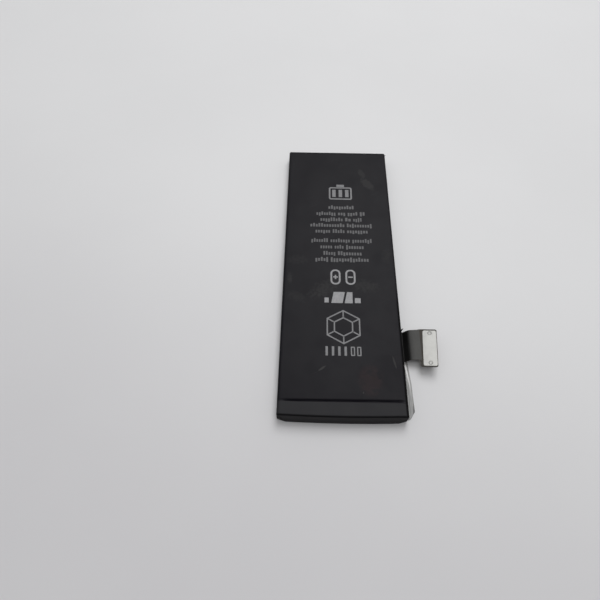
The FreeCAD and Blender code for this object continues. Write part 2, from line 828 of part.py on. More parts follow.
fill_sheet()
pouch_cell()
for pole in ("negative", "positive"):
    cell_tab(f"{pole}_tab", f"{pole}_place")
    tab_seal(f"{pole}_tab_seal", f"{pole}_place")
    weld_plate(f"{pole}_weld_plate", f"{pole}_place")
board_pad()
protection_board()
chips()
board_tape()
flex_cable()
stiffener_plate()
connector_housing()
contacts()
label_wrap()
adhesive_sheet()
pull_tab()
pull_tape()
check_and_write()
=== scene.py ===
import json
import math
import random

import bmesh
import bpy
from mathutils import Matrix, Vector


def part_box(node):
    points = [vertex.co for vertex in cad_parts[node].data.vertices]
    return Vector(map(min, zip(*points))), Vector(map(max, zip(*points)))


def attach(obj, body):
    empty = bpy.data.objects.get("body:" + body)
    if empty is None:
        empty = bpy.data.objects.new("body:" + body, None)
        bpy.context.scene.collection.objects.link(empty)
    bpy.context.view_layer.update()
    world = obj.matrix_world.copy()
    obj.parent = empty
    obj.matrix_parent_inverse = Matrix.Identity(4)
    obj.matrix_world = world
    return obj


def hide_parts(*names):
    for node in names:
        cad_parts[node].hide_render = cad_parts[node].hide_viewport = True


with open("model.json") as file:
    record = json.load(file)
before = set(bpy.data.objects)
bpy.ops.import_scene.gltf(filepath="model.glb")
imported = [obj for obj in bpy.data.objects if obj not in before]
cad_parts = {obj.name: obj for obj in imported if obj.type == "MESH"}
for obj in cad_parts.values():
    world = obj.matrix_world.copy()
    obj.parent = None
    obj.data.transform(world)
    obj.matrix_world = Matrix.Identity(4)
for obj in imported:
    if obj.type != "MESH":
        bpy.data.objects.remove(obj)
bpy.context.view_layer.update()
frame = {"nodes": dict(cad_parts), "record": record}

# A flat lithium pouch battery, label up, on a pale floor. Lengths are millimetres in the row frame
# unless a name says otherwise. new_piece() and mm() turn them into metres.

BODY = "root"
NODES = frame["nodes"]


def mm(*values):
    return Vector(v * 0.001 for v in values)


def node_box(node):
    """Lowest and highest corner of a solid, in millimetres."""
    low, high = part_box(node)
    return low * 1000, high * 1000


# The camera, solved from the outline of the pack in the 600 x 600 frame
FRAME_PIXELS = 600
FOCAL_PIXELS = 489.3
CAMERA_PLACE = (-9.46, -84.24, 118.55)
CAMERA_PITCH = 58.27
CAMERA_TURN = 1.34
CAMERA_ROLL = 0.084

# The pack, as the solids have it
WRAP_LOW, WRAP_HIGH = node_box("label_wrap")
HALF_WIDTH = WRAP_HIGH.x
HALF_LENGTH = WRAP_HIGH.y
TOP = WRAP_HIGH.z
BACK = node_box("adhesive_sheet")[1].z
FILM = BACK - WRAP_LOW.z
TOP_ROUND = 0.6
BACK_ROUND = 0.5
END_ROUND = 0.36
ROUND_STEPS = 7
LAP_LEFT = -HALF_WIDTH + BACK_ROUND
LAP_WIDTH = 7.0
LAP_TAPER = 0.9
LAP_RISE = 0.95 * FILM
SEAM_STEP = 0.02
# The label's hollows fade out down the rounded edges between these heights
HOLLOW_FOOT = TOP - 1.5
HOLLOW_FULL = TOP - 0.35
# Spacing of the film's rings before, in and past the valley
NEAR_SPACING = 0.35
VALLEY_SPACING = 0.08
CELL_SPACING = 0.8
# How far the rings that close an end run in to the pack's middle line
CLOSING_SHARES = (0.12, 0.3, 0.5, 0.7, 0.88)

# The film's valley between the cell and the board, and its slack over the cell
VALLEY_Y = -41.95
VALLEY_SKEW = 0.011
VALLEY_DEPTH = 0.31
VALLEY_SPREAD = 0.21
VALLEY_LEFT = -14.5
VALLEY_RIGHT = 15.1
BAY_DROP = 0.07
SLACK = 0.02

# The near end of the film stands out a little in the middle
BOW = 0.34
BOW_MIDDLE = -2.0
BOW_HALF = 16.0
BOW_FULL_Y = -HALF_LENGTH + 0.5
BOW_END_Y = -HALF_LENGTH + 1.6

# The folds of film over each end wall: name, height of the foot and how far it is drawn in at each end,
# the same for the top, how far the two faces lie from the wall, and the flare at the floor
FOLD_HALF = HALF_WIDTH - 0.35
END_FOLDS = (
    ("lower", (BACK + 0.1, 0), (2.15, 1.9), (-0.03, 0.025), 0.44),
    ("upper", (1.45, 1.3), (TOP - 0.5, 0), (0.0, 0.05), 0.0),
)
FLARE_TOP = 1.5
FLARE_FADE = 2.0

# The slot in the film, and the flexible circuit that leaves it, rises and carries the connector head
SLOT_LOW = 0.785
SLOT_HIGH = 1.225
SLOT_PLAY = 0.2
FLEX_FILM = 0.12
COVER_FILM = 0.025
TONGUE_FAR = 24.6 - HALF_LENGTH
TONGUE_NEAR = TONGUE_FAR - 8.7
SLOT_NEAR = TONGUE_NEAR - SLOT_PLAY
SLOT_FAR = TONGUE_FAR + SLOT_PLAY
FLEX_SIDE_X = HALF_WIDTH - 0.21
FLEX_EXIT_Z = 0.95
RISE_FOOT = HALF_WIDTH + 0.8
RISE_HEAD = HALF_WIDTH + 2.1
CURVES_END_X = 20.0
COVER_END_X = 20.95
HEAD_X = HALF_WIDTH + 7.12
HEAD_Y = 19.0 - HALF_LENGTH
HEAD_Z = 3.05
HEAD_SKEW = math.radians(-4)
HEAD_SLOPE = math.tan(math.radians(8.5))
HEAD_LIP = 0.65
HEAD_RIM = 0.24
HEAD_FAR_RIM = 0.42
HEAD_RIGHT_RIM = 0.16
PLATE_WIDTH = 3.5
PLATE_LENGTH = 10.25
PLATE_THICKNESS = 0.25
PLATE_CORNER = 0.5
PLATE_ROLL = 0.1
ROLL_RINGS = 4
ROLL_RING_WIDTH = PLATE_ROLL / 3.8
MARK_INSET = 0.85
MARK_RADIUS = 0.56
MARK_BOSS = 0.36
MARK_DEPTH = 0.06
MARK_CELL = 0.07

# The label's own flap over the root of the flexible circuit
FLAP_END_X = 17.85
FLAP_PLAY = 0.02
FLAP_FILM = 0.06
FLAP_LIFT = 0.05
FLAP_RIPPLE = 0.03

# Pointed corners of film off the pack's right side: name, y and z of the root, size
FILM_EARS = (
    ("slot_ear", TONGUE_FAR + 0.42, 1.35, 1.0),
    ("corner_ear", HALF_LENGTH - 0.28, TOP - 0.85, 0.42),
)
# Corners of one of size 1: out from the side, along it, and radius
EAR_CORNERS = ((0, 0, 0), (0.95, 0.18, 0.05), (0.25, -0.75, 0.1), (0, -0.9, 0))
EAR_SLOPE = 0.9
EAR_HALF_FILM = 0.04

# The clear pull tab under the board end, with its right edge at the near corner, the bend and the far end
TAB_LOW, TAB_HIGH = node_box("pull_tab")
TAB_NEAR = 0.5 - HALF_LENGTH
TAB_CORNER_X = TAB_HIGH.x + 0.03
TAB_CORNER_Y = TAB_NEAR + 2.2
TAB_BEND_X = TAB_HIGH.x - 0.2
TAB_BEND_Y = TAB_NEAR + 9.6
TAB_FAR_X = TAB_HIGH.x - 0.75
TAB_ROUND = 0.9
TAB_CURL = 0.22
# Its crease lies where x + 0.55 y is this value, and fades in from its start to its full height
CREASE_LINE = -7.3
CREASE_SPREAD = 0.22
CREASE_HEIGHT = 0.12
CREASE_START = -43.0
CREASE_FULL = -45.2


def add_camera():
    data = bpy.data.cameras.new("photo_camera")
    data.sensor_width = 36.0
    data.lens = data.sensor_width * FOCAL_PIXELS / FRAME_PIXELS
    data.clip_start = 0.005
    camera = bpy.data.objects.new("photo_camera", data)
    turn = Matrix.Rotation(math.radians(CAMERA_TURN), 4, "Z")
    pitch = Matrix.Rotation(math.radians(90 - CAMERA_PITCH), 4, "X")
    roll = Matrix.Rotation(math.radians(CAMERA_ROLL), 4, "Z")
    camera.matrix_world = Matrix.Translation(mm(*CAMERA_PLACE)) @ turn @ pitch @ roll
    bpy.context.scene.collection.objects.link(camera)
    bpy.context.scene.camera = camera


# Making pieces
def smooth_step(low, high, value):
    t = min(1.0, max(0.0, (value - low) / (high - low)))
    return t * t * (3 - 2 * t)


def direction(degrees):
    angle = math.radians(degrees)
    return Vector((math.cos(angle), math.sin(angle)))


def new_piece(name, bm, material, replaced=(), sharp_angle=40.0):
    """Turns a bmesh in millimetres into a piece that rides with the pack."""
    bmesh.ops.recalc_face_normals(bm, faces=bm.faces)
    bmesh.ops.scale(bm, vec=(0.001, 0.001, 0.001), verts=bm.verts)
    mesh = bpy.data.meshes.new(name)
    bm.to_mesh(mesh)
    bm.free()
    mesh.shade_smooth()
    mesh.set_sharp_from_angle(angle=math.radians(sharp_angle))
    mesh.materials.append(material)
    piece = bpy.data.objects.new(name, mesh)
    bpy.context.scene.collection.objects.link(piece)
    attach(piece, BODY)
    if replaced:
        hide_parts(*replaced)


def rounded(corners, steps=8):
    """Corners (x, y, radius) turned into an outline with true arcs."""
    outline = []
    count = len(corners)
    for i, (x, y, radius) in enumerate(corners):
        corner = Vector((x, y))
        if radius == 0:
            outline.append(corner)
            continue
        before = (Vector(corners[i - 1][:2]) - corner).normalized()
        after = (Vector(corners[(i + 1) % count][:2]) - corner).normalized()
        half = before.angle(after) / 2
        centre = corner + (before + after).normalized() * radius / math.sin(half)
        start = corner + before * radius / math.tan(half) - centre
        sweep = start.angle_signed(corner + after * radius / math.tan(half) - centre)
        for k in range(steps + 1):
            outline.append(centre + Matrix.Rotation(-sweep * k / steps, 2) @ start)
    return outline


def rectangle(x0, y0, x1, y1):
    return [(x0, y0), (x1, y0), (x1, y1), (x0, y1)]


def rounded_box(x0, y0, x1, y1, radius, steps=5):
    return rounded([(*corner, radius) for corner in rectangle(x0, y0, x1, y1)], steps)


def steps_between(low, high, spacing):
    count = max(1, round((high - low) / spacing))
    return [low + (high - low) * i / count for i in range(count + 1)]


def cut_up(bm, axis, cuts):
    """Cuts a flat sheet across an axis at each of the given places."""
    for cut in cuts:
        geometry = bm.verts[:] + bm.edges[:] + bm.faces[:]
        bmesh.ops.bisect_plane(bm, geom=geometry, dist=1e-5, plane_co=axis * cut, plane_no=axis)


def flat_face(outline, cuts_u=(), cuts_v=()):
    """A flat sheet of that outline, cut into cells along the given lines."""
    bm = bmesh.new()
    bm.faces.new([bm.verts.new((p[0], p[1], 0)) for p in outline])
    cut_up(bm, Vector((1, 0, 0)), cuts_u)
    cut_up(bm, Vector((0, 1, 0)), cuts_v)
    return bm


def thicken(bm, low, high, place):
    """Gives a flat sheet a body from low to high, each point (u, v, height) put where place says."""
    top_of = {v: bm.verts.new((v.co.x, v.co.y, high)) for v in bm.verts[:]}
    rim = [e for e in bm.edges if e.is_boundary]
    for face in bm.faces[:]:
        bm.faces.new([top_of[v] for v in face.verts])
    for edge in rim:
        a, b = edge.verts
        bm.faces.new([a, b, top_of[b], top_of[a]])
    for v in top_of:
        v.co.z = low
    for v in bm.verts:
        v.co = place(v.co.x, v.co.y, v.co.z)
    return bm


def join(target, source):
    """Moves the faces of one bmesh into another."""
    copies = {v: target.verts.new(v.co) for v in source.verts}
    for face in source.faces:
        target.faces.new([copies[v] for v in face.verts])
    source.free()


# The label film
def valley(x, y):
    middle = VALLEY_Y + VALLEY_SKEW * x
    left = smooth_step(VALLEY_LEFT - 0.8, VALLEY_LEFT + 1.2, x)
    right = 1 - smooth_step(VALLEY_RIGHT - 0.7, VALLEY_RIGHT + 0.3, x)
    away = (y - middle) / VALLEY_SPREAD
    return VALLEY_DEPTH * math.exp(-away * away) * left * right


def label_drop(x, y):
    """How far the label lies below the pack's full height."""
    bay = BAY_DROP * (1 - smooth_step(VALLEY_Y - 0.4, VALLEY_Y + 0.5, y))
    slack = 0.55 * math.sin(0.21 * x + 0.9) * math.sin(0.085 * y + 0.4)
    slack += 0.3 * math.sin(0.55 * x - 0.31 * y)
    return valley(x, y) + bay + SLACK * (1 + slack)


def label_height(x, y):
    return TOP - label_drop(x, y)


def near_bow(x):
    """How far the film's near end stands out at x."""
    return BOW * max(0.0, 1 - ((x - BOW_MIDDLE) / BOW_HALF) ** 2)


def lap(x, z):
    """The film's second layer on the back, from the left edge to the seam."""
    if z > BACK + 0.02:
        return 0.0
    seam = LAP_LEFT + LAP_WIDTH
    rise = smooth_step(LAP_LEFT, LAP_LEFT + LAP_TAPER, x)
    return -LAP_RISE * rise * (1 - smooth_step(seam, seam + SEAM_STEP, x))


def straight_run(start, end, spacing, stops=()):
    """Points between two ends, evenly spaced, with exact stops given as distances from the start."""
    length = (end - start).length
    marks = [m for m in steps_between(0, length, spacing)[1:-1] if all(abs(m - s) > 0.06 for s in stops)]
    return [start.lerp(end, m / length) for m in sorted(marks + list(stops))]


def wrap_section():
    """Points once round the pack with their outward normals, counter-clockwise from below the right edge.

    Each corner has its middle, its radius, the angle its arc starts at, and the spacing and the exact stops
    of the straight run that follows.
    """
    low = BACK + BACK_ROUND
    high = TOP - TOP_ROUND
    seam = LAP_LEFT + LAP_WIDTH + HALF_WIDTH - BACK_ROUND
    corners = (
        (HALF_WIDTH - BACK_ROUND, low, BACK_ROUND, -90, 0.3, (SLOT_LOW - low, SLOT_HIGH - low)),
        (HALF_WIDTH - TOP_ROUND, high, TOP_ROUND, 0, 0.55, ()),
        (-HALF_WIDTH + TOP_ROUND, high, TOP_ROUND, 90, 0.3, ()),
        (-HALF_WIDTH + BACK_ROUND, low, BACK_ROUND, 180, 0.55, (LAP_TAPER, seam, seam + SEAM_STEP)),
    )
    arcs = []
    for x, z, radius, start, _, _ in corners:
        normals = [direction(start + 90 * k / ROUND_STEPS) for k in range(ROUND_STEPS + 1)]
        arcs.append([(Vector((x, z)) + n * radius, n) for n in normals])
    points = []
    for i, (*_, spacing, stops) in enumerate(corners):
        points += arcs[i]
        begin, normal = arcs[i][-1]
        end = arcs[(i + 1) % 4][0][0]
        points += [(p, normal) for p in straight_run(begin, end, spacing, stops)]
    return points


def film_stations():
    """Where the film's rings lie along the pack, closer together in the valley and round the ends."""
    near, far = -HALF_LENGTH + END_ROUND, HALF_LENGTH - END_ROUND
    curve = [END_ROUND * math.sin(math.pi / 2 * k / ROUND_STEPS) for k in range(1, ROUND_STEPS + 1)]
    stations = [near - c for c in curve] + [far + c for c in curve]
    stations += steps_between(near, VALLEY_Y - 1.0, NEAR_SPACING)
    stations += steps_between(VALLEY_Y - 1.0, VALLEY_Y + 1.0, VALLEY_SPACING)
    stations += steps_between(VALLEY_Y + 1.0, far, CELL_SPACING)
    slot = [SLOT_NEAR, SLOT_FAR]
    stations = [y for y in stations if all(abs(y - s) > 0.1 for s in slot)] + slot
    stations.sort()
    return [y for i, y in enumerate(stations) if i == 0 or y - stations[i - 1] > 0.001]


def close_end(bm, ring):
    """Closes one end with rings that run in to the pack's middle line."""
    middle = (TOP + BACK) / 2
    reach = HALF_WIDTH - (TOP - BACK) / 2
    before = ring
    for share in CLOSING_SHARES:
        inner = []
        for v in ring:
            goal = Vector((max(-reach, min(reach, v.co.x)), v.co.y, middle))
            inner.append(bm.verts.new(v.co.lerp(goal, share)))
        bridge(bm, before, inner)
        before = inner
    bm.faces.new(before)


def bridge(bm, first, second):
    for i in range(len(first)):
        j = (i + 1) % len(first)
        bm.faces.new((first[i], first[j], second[j], second[i]))


def label_film(material):
    """The film round the pack, one skin with the slot left open, given its thickness inwards."""
    section = wrap_section()
    bm = bmesh.new()
    rings = []
    for y in film_stations():
        over = max(0.0, abs(y) - (HALF_LENGTH - END_ROUND))
        inset = END_ROUND - math.sqrt(max(0.0, END_ROUND ** 2 - over ** 2))
        ring = []
        for point, normal in section:
            x, z = point - normal * inset
            drop = label_drop(x, y) * smooth_step(HOLLOW_FOOT, HOLLOW_FULL, z)
            out = near_bow(x) * (1 - smooth_step(BOW_FULL_Y, BOW_END_Y, y))
            ring.append(bm.verts.new((x, y - out, z - drop + lap(x, z))))
        rings.append(ring)
    for near, far in zip(rings[:-1], rings[1:]):
        bridge(bm, near, far)
    close_end(bm, rings[0])
    close_end(bm, rings[-1])
    in_slot = []
    for face in bm.faces:
        x, y, z = face.calc_center_median()
        if x > HALF_WIDTH - 0.02 and SLOT_NEAR < y < SLOT_FAR and SLOT_LOW < z < SLOT_HIGH:
            in_slot.append(face)
    bmesh.ops.delete(bm, geom=in_slot, context="FACES")
    bmesh.ops.recalc_face_normals(bm, faces=bm.faces)
    bmesh.ops.solidify(bm, geom=bm.faces[:], thickness=FILM)
    new_piece("label_film", bm, material, replaced=("label_wrap",))


def fold_outline(foot, top):
    """Outline of an end fold, with tighter corners where it is drawn in."""
    corners = []
    for (height, drawn_in), sides in ((foot, (-1, 1)), (top, (1, -1))):
        radius = 0.15 if drawn_in else 0.2
        corners += [(side * (FOLD_HALF - drawn_in), height, radius) for side in sides]
    return rounded(corners, 4)


def end_folds(material):
    """Film folded over each end wall: an upper flap with slanted ends that laps a lower one.

    The lower one stands off the wall towards the floor.
    """
    columns = steps_between(-FOLD_HALF, FOLD_HALF, 0.6)[1:-1]
    rows = steps_between(BACK, 1.6, 0.15)[1:]
    for name, side in (("near", -1), ("far", 1)):
        for layer, foot, top, (low, high), flare in END_FOLDS:
            def place(x, z, out):
                ends = smooth_step(0, FLARE_FADE, FOLD_HALF - abs(x))
                stand_off = flare * ends * (1 - smooth_step(BACK, FLARE_TOP, z))
                if side < 0:
                    stand_off += near_bow(x)
                return Vector((x, side * (HALF_LENGTH + out + stand_off), z))
            bm = thicken(flat_face(fold_outline(foot, top), columns, rows), low, high, place)
            new_piece(f"{name}_end_fold_{layer}", bm, material)


# The flexible circuit
def path_of(corners):
    """A bent line through corners (x, z, radius) as points, normals and the length up to each point."""
    points = rounded(corners, 10)
    lengths = [0.0]
    for a, b in zip(points[:-1], points[1:]):
        lengths.append(lengths[-1] + (b - a).length)
    normals = []
    for i in range(len(points)):
        ahead = (points[min(i + 1, len(points) - 1)] - points[max(i - 1, 0)]).normalized()
        normals.append(Vector((-ahead.y, ahead.x)))
    return points, normals, lengths


def along(path, s):
    """Place and normal at a length along a path."""
    points, normals, lengths = path
    i = next((k for k in range(len(lengths) - 2) if lengths[k + 1] >= s), len(lengths) - 2)
    t = (s - lengths[i]) / (lengths[i + 1] - lengths[i])
    return points[i].lerp(points[i + 1], t), normals[i].lerp(normals[i + 1], t).normalized()


def on_path(path):
    def place(s, y, out):
        point, normal = along(path, s)
        spot = point + normal * out
        return Vector((spot.x, y, spot.y))
    return place


ARM_BOTTOM = 1.15
ARM_TOP = 2.42
LANDING_Z = 2.78
LANDING_END = 11.4
LANDING_NEAR = -44.9
LANDING_FAR = -42.2
RUN_END = HEAD_X + 3.0
TONGUE_PATH = path_of((
    (FLEX_SIDE_X, ARM_BOTTOM, 0),
    (FLEX_SIDE_X, FLEX_EXIT_Z, 0.15),
    (RISE_FOOT, FLEX_EXIT_Z, 0.5),
    (RISE_HEAD, HEAD_Z - (HEAD_X - RISE_HEAD) * HEAD_SLOPE, 1.0),
    (RUN_END, HEAD_Z + (RUN_END - HEAD_X) * HEAD_SLOPE, 0),
))
TONGUE_LENGTH = TONGUE_PATH[2][-1]
LANDING_PATH = path_of((
    (FLEX_SIDE_X, ARM_TOP, 0),
    (FLEX_SIDE_X, LANDING_Z, 0.3),
    (LANDING_END, LANDING_Z, 0),
))
LANDING_LENGTH = LANDING_PATH[2][-1]


def unrolled(x):
    """Length along the tongue at which its straight end has that x."""
    return TONGUE_LENGTH - (RUN_END - x) * math.hypot(1, HEAD_SLOPE)


def head_point(across, away):
    """A point of the head's own frame, unrolled with the tongue."""
    return Vector((unrolled(HEAD_X), HEAD_Y)) + Matrix.Rotation(HEAD_SKEW, 2) @ Vector((across, away))


def tongue_outline():
    """The tongue and the head's base in one outline, a little larger than the plate."""
    left = -PLATE_WIDTH / 2 - HEAD_LIP
    right = PLATE_WIDTH / 2 + HEAD_RIGHT_RIM
    near = -PLATE_LENGTH / 2 - HEAD_RIM
    far = PLATE_LENGTH / 2 + HEAD_FAR_RIM
    return rounded([
        (0, TONGUE_NEAR, 0),
        (unrolled(20.5), TONGUE_NEAR - 0.1, 0.5),
        (*head_point(left, near), 0.4),
        (*head_point(right, near), PLATE_CORNER),
        (*head_point(right, far), PLATE_CORNER),
        (*head_point(left, far), 0.3),
        (unrolled(20.2), TONGUE_FAR, 0),
        (0, TONGUE_FAR, 0),
    ], 6)


def flexible_circuit(base_material, cover_material):
    """The circuit in its real layers: a base film, and a cover film on each face that stops at the head."""
    core = FLEX_FILM / 2 - COVER_FILM
    place = on_path(TONGUE_PATH)
    curves_end = unrolled(CURVES_END_X)
    cuts = steps_between(0, curves_end, 0.14)[1:] + steps_between(curves_end, TONGUE_LENGTH, 0.8)[1:-1]
    rows = steps_between(TONGUE_NEAR, TONGUE_FAR, 1.4)[1:-1]
    bm = thicken(flat_face(tongue_outline(), cuts, rows), -core, core, place)
    arm = rectangle(LANDING_NEAR, ARM_BOTTOM, TONGUE_FAR, ARM_TOP)
    join(bm, thicken(flat_face(arm, steps_between(LANDING_NEAR, TONGUE_FAR, 1.4)), -core, core,
                     lambda y, z, out: Vector((FLEX_SIDE_X - out, y, z))))
    landing = rectangle(0, LANDING_NEAR, LANDING_LENGTH, LANDING_FAR)
    join(bm, thicken(flat_face(landing, steps_between(0, 1.2, 0.06)[1:]), -core, core, on_path(LANDING_PATH)))
    new_piece("flex_base", bm, base_material, replaced=("flex_cable",), sharp_angle=50)
    cover_end = unrolled(COVER_END_X)
    for name, low, high in (("upper", core, core + COVER_FILM), ("lower", -core - COVER_FILM, -core)):
        outline = rounded([
            (0.25, TONGUE_NEAR + 0.07, 0),
            (cover_end - 0.05, TONGUE_NEAR - 0.08, 0.25),
            (cover_end + 0.05, TONGUE_FAR - 0.12, 0.25),
            (0.25, TONGUE_FAR - 0.07, 0),
        ], 5)
        bm = thicken(flat_face(outline, [c for c in cuts if c < cover_end], rows), low, high, place)
        new_piece(f"flex_cover_{name}", bm, cover_material, sharp_angle=50)


def slot_flap(material):
    """The label's own flap, left when the slot was cut, drawn out over the root of the flexible circuit."""
    place = on_path(TONGUE_PATH)
    start = next(s for s, p in zip(TONGUE_PATH[2], TONGUE_PATH[0]) if p.x > HALF_WIDTH - 0.05)
    end = unrolled(FLAP_END_X)
    near, far = TONGUE_NEAR - 0.1, TONGUE_FAR - 0.45
    outline = rounded([
        (start, near, 0),
        (end - 0.25, near + 0.05, 0.3),
        (end, far - 0.3, 0.35),
        (start, far + 0.3, 0),
    ], 5)
    cuts = steps_between(start, end, 0.12)[1:-1]
    low = FLEX_FILM / 2 + FLAP_PLAY

    def lifted(s, y, out):
        ripple = max(-FLAP_PLAY / 2, FLAP_RIPPLE * math.sin(1.3 * y + 2.0 * s))
        return place(s, y, out + FLAP_LIFT * smooth_step(start, end, s) + ripple)

    bm = thicken(flat_face(outline, cuts, steps_between(near, far, 0.7)[1:-1]), low, low + FLAP_FILM, lifted)
    new_piece("slot_flap", bm, material, sharp_angle=50)


def film_ear(material, name, root_y, root_z, size):
    """A small pointed corner of film that stands off the pack's right side."""
    ear = rounded([[value * size for value in corner] for corner in EAR_CORNERS], 3)

    def place(out, away, through):
        return Vector((HALF_WIDTH - 0.03 + out, root_y + away, root_z + EAR_SLOPE * out + through))

    bm = thicken(flat_face(ear, (0.3 * size, 0.6 * size)), -EAR_HALF_FILM, EAR_HALF_FILM, place)
    new_piece(name, bm, material)


# The connector head
def inside_plate(x, y):
    """Distance in from the plate's outline, in its own frame."""
    qx = abs(x) - (PLATE_WIDTH / 2 - PLATE_CORNER)
    qy = abs(y) - (PLATE_LENGTH / 2 - PLATE_CORNER)
    outside = math.hypot(max(qx, 0), max(qy, 0)) + min(max(qx, qy), 0)
    return PLATE_CORNER - outside


def press_mark(x, y):
    """Depth of the two round press marks, each a groove about a low boss."""
    away = math.hypot(x, abs(y) - (PLATE_LENGTH / 2 - MARK_INSET))
    rise = smooth_step(MARK_BOSS - 0.1, MARK_BOSS + 0.06, away)
    return MARK_DEPTH * rise * (1 - smooth_step(MARK_RADIUS - 0.1, MARK_RADIUS + 0.06, away))


def mark_place(side):
    """Middle of the press mark near the far (1) or the near (-1) end."""
    middle = on_path(TONGUE_PATH)(*head_point(0, side * (PLATE_LENGTH / 2 - MARK_INSET)), 0)
    return middle.x, middle.y


def steel_plate(material):
    half_width = PLATE_WIDTH / 2
    half_length = PLATE_LENGTH / 2
    bm = flat_face(rounded_box(-half_width, -half_length, half_width, half_length, PLATE_CORNER, 8))
    for _ in range(ROLL_RINGS):
        inner = max(bm.faces, key=lambda f: f.calc_area())
        bmesh.ops.inset_region(bm, faces=[inner], thickness=ROLL_RING_WIDTH)
    columns = [k * MARK_CELL for k in range(-10, 11)]
    marks = half_length - MARK_INSET
    cut_up(bm, Vector((0, 1, 0)), [side * (marks + column) for side in (-1, 1) for column in columns])
    cut_up(bm, Vector((1, 0, 0)), columns)
    on_tongue = on_path(TONGUE_PATH)

    def place(x, y, up):
        if up > 0:
            rolled = max(0.0, 1 - max(0.0, inside_plate(x, y)) / PLATE_ROLL)
            up -= PLATE_ROLL * (1 - math.sqrt(max(0.0, 1 - rolled ** 2))) + press_mark(x, y)
        return on_tongue(*head_point(x, y), FLEX_FILM / 2 + up)

    thicken(bm, 0, PLATE_THICKNESS, place)
    new_piece("steel_plate", bm, material, replaced=("stiffener_plate",), sharp_angle=35)


# The pull tab
def pull_tongue(material):
    """Clear film tongue that shows past the connector side, its free edge curled up a little."""
    outline = rounded([
        (TAB_LOW.x, TAB_NEAR + 1.4, 0),
        (TAB_HIGH.x - 1.3, TAB_NEAR, TAB_ROUND),
        (TAB_CORNER_X, TAB_CORNER_Y, TAB_ROUND),
        (TAB_BEND_X, TAB_BEND_Y, TAB_ROUND),
        (TAB_FAR_X, TAB_HIGH.y, 0),
        (TAB_LOW.x, TAB_HIGH.y, 0),
    ], 8)

    def place(x, y, up):
        free = smooth_step(HALF_WIDTH + 0.15, TAB_HIGH.x + 0.3, x)
        curl = TAB_CURL * (0.6 + 0.4 * math.sin(0.5 * y + 1.0))
        from_crease = (x + 0.55 * y - CREASE_LINE) / CREASE_SPREAD
        crease = CREASE_HEIGHT * math.exp(-from_crease ** 2) * smooth_step(CREASE_START, CREASE_FULL, y)
        return Vector((x, y, up + (curl + crease) * free))

    columns = steps_between(TAB_LOW.x, HALF_WIDTH, 4.0)[1:-1]
    columns += steps_between(HALF_WIDTH, TAB_HIGH.x, 0.14)[:-1]
    rows = steps_between(TAB_NEAR, TAB_HIGH.y, 0.5)[1:-1]
    bm = thicken(flat_face(outline, columns, rows), 0, TAB_HIGH.z, place)
    new_piece("pull_tongue", bm, material, replaced=("pull_tab",), sharp_angle=50)


# The print
INK_LOW = -0.004
INK_HIGH = 0.009


def on_label(x, y, up):
    return Vector((x, y, label_height(x, y) + up))


def print_shape(bm, outline, hole=None):
    """Adds a field of ink. A hole has as many points as the outline and makes it a closed line."""
    if hole is None:
        join(bm, thicken(flat_face(outline), INK_LOW, INK_HIGH, on_label))
        return
    ring = bmesh.new()
    outer = [ring.verts.new((*p, 0)) for p in outline]
    inner = [ring.verts.new((*p, 0)) for p in hole]
    bridge(ring, outer, inner)
    join(bm, thicken(ring, INK_LOW, INK_HIGH, on_label))


def print_frame(bm, x0, y0, x1, y1, line, radius):
    """A rounded rectangular line."""
    inner = rounded_box(x0 + line, y0 + line, x1 - line, y1 - line, max(0.01, radius - line))
    print_shape(bm, rounded_box(x0, y0, x1, y1, radius), inner)


def print_bar(bm, x0, y0, x1, y1):
    print_shape(bm, rectangle(x0, y0, x1, y1))


# Each row of small blocks: its middle height, its left and right end, and the share that each word takes
PRINT_ROWS = (
    (20.87, -3.06, 4.74, (1,)),
    (18.30, -6.79, 8.07, (8, 3, 4, 2)),
    (15.90, -5.55, 7.04, (8, 2, 3)),
    (13.59, -8.59, 9.99, (11, 8)),
    (11.27, -7.04, 8.66, (5, 4, 7)),
    (7.71, -8.21, 9.68, (6, 7, 7)),
    (5.33, -5.52, 7.19, (4, 3, 6)),
    (2.95, -4.63, 6.50, (4, 8)),
    (0.72, -6.96, 8.44, (4, 12)),
)
ROW_HEIGHT = 1.02
BLOCK_WIDTH = 0.52
BLOCK_GAP = 0.27
WORD_GAP = 0.8
# Some blocks reach above or below their row. Each is drawn from these
BLOCK_RISES = (0, 0, 0, 0.38)
BLOCK_DROPS = (0, 0, 0, 0, 0.3)


def print_rows(material):
    """Nine rows of small plain blocks, where a label has its lines of small type."""
    seed = random.Random(7)
    bm = bmesh.new()
    for middle, left, right, words in PRINT_ROWS:
        room = right - left - WORD_GAP * (len(words) - 1)
        start = left
        for word in words:
            end = start + room * word / sum(words)
            count = max(1, round((end - start + BLOCK_GAP) / (BLOCK_WIDTH + BLOCK_GAP)))
            pitch = (end - start + BLOCK_GAP) / count
            for k in range(count):
                x0 = start + k * pitch
                high = middle + ROW_HEIGHT / 2 + seed.choice(BLOCK_RISES)
                low = middle - ROW_HEIGHT / 2 - seed.choice(BLOCK_DROPS)
                print_bar(bm, x0, low, x0 + pitch - BLOCK_GAP, high)
            start = end + WORD_GAP
    new_piece("print_rows", bm, material)


def print_cell_sign(material):
    """A cell sign: a rounded frame with its pole on top and three charge bars."""
    bm = bmesh.new()
    print_frame(bm, -2.9, 24.3, 4.4, 29.6, 0.5, 0.7)
    print_bar(bm, -0.45, 29.75, 1.95, 30.75)
    for x in (-1.85, 0.2, 2.25):
        print_bar(bm, x, 25.4, x + 1.1, 28.5)
    new_piece("print_cell_sign", bm, material)


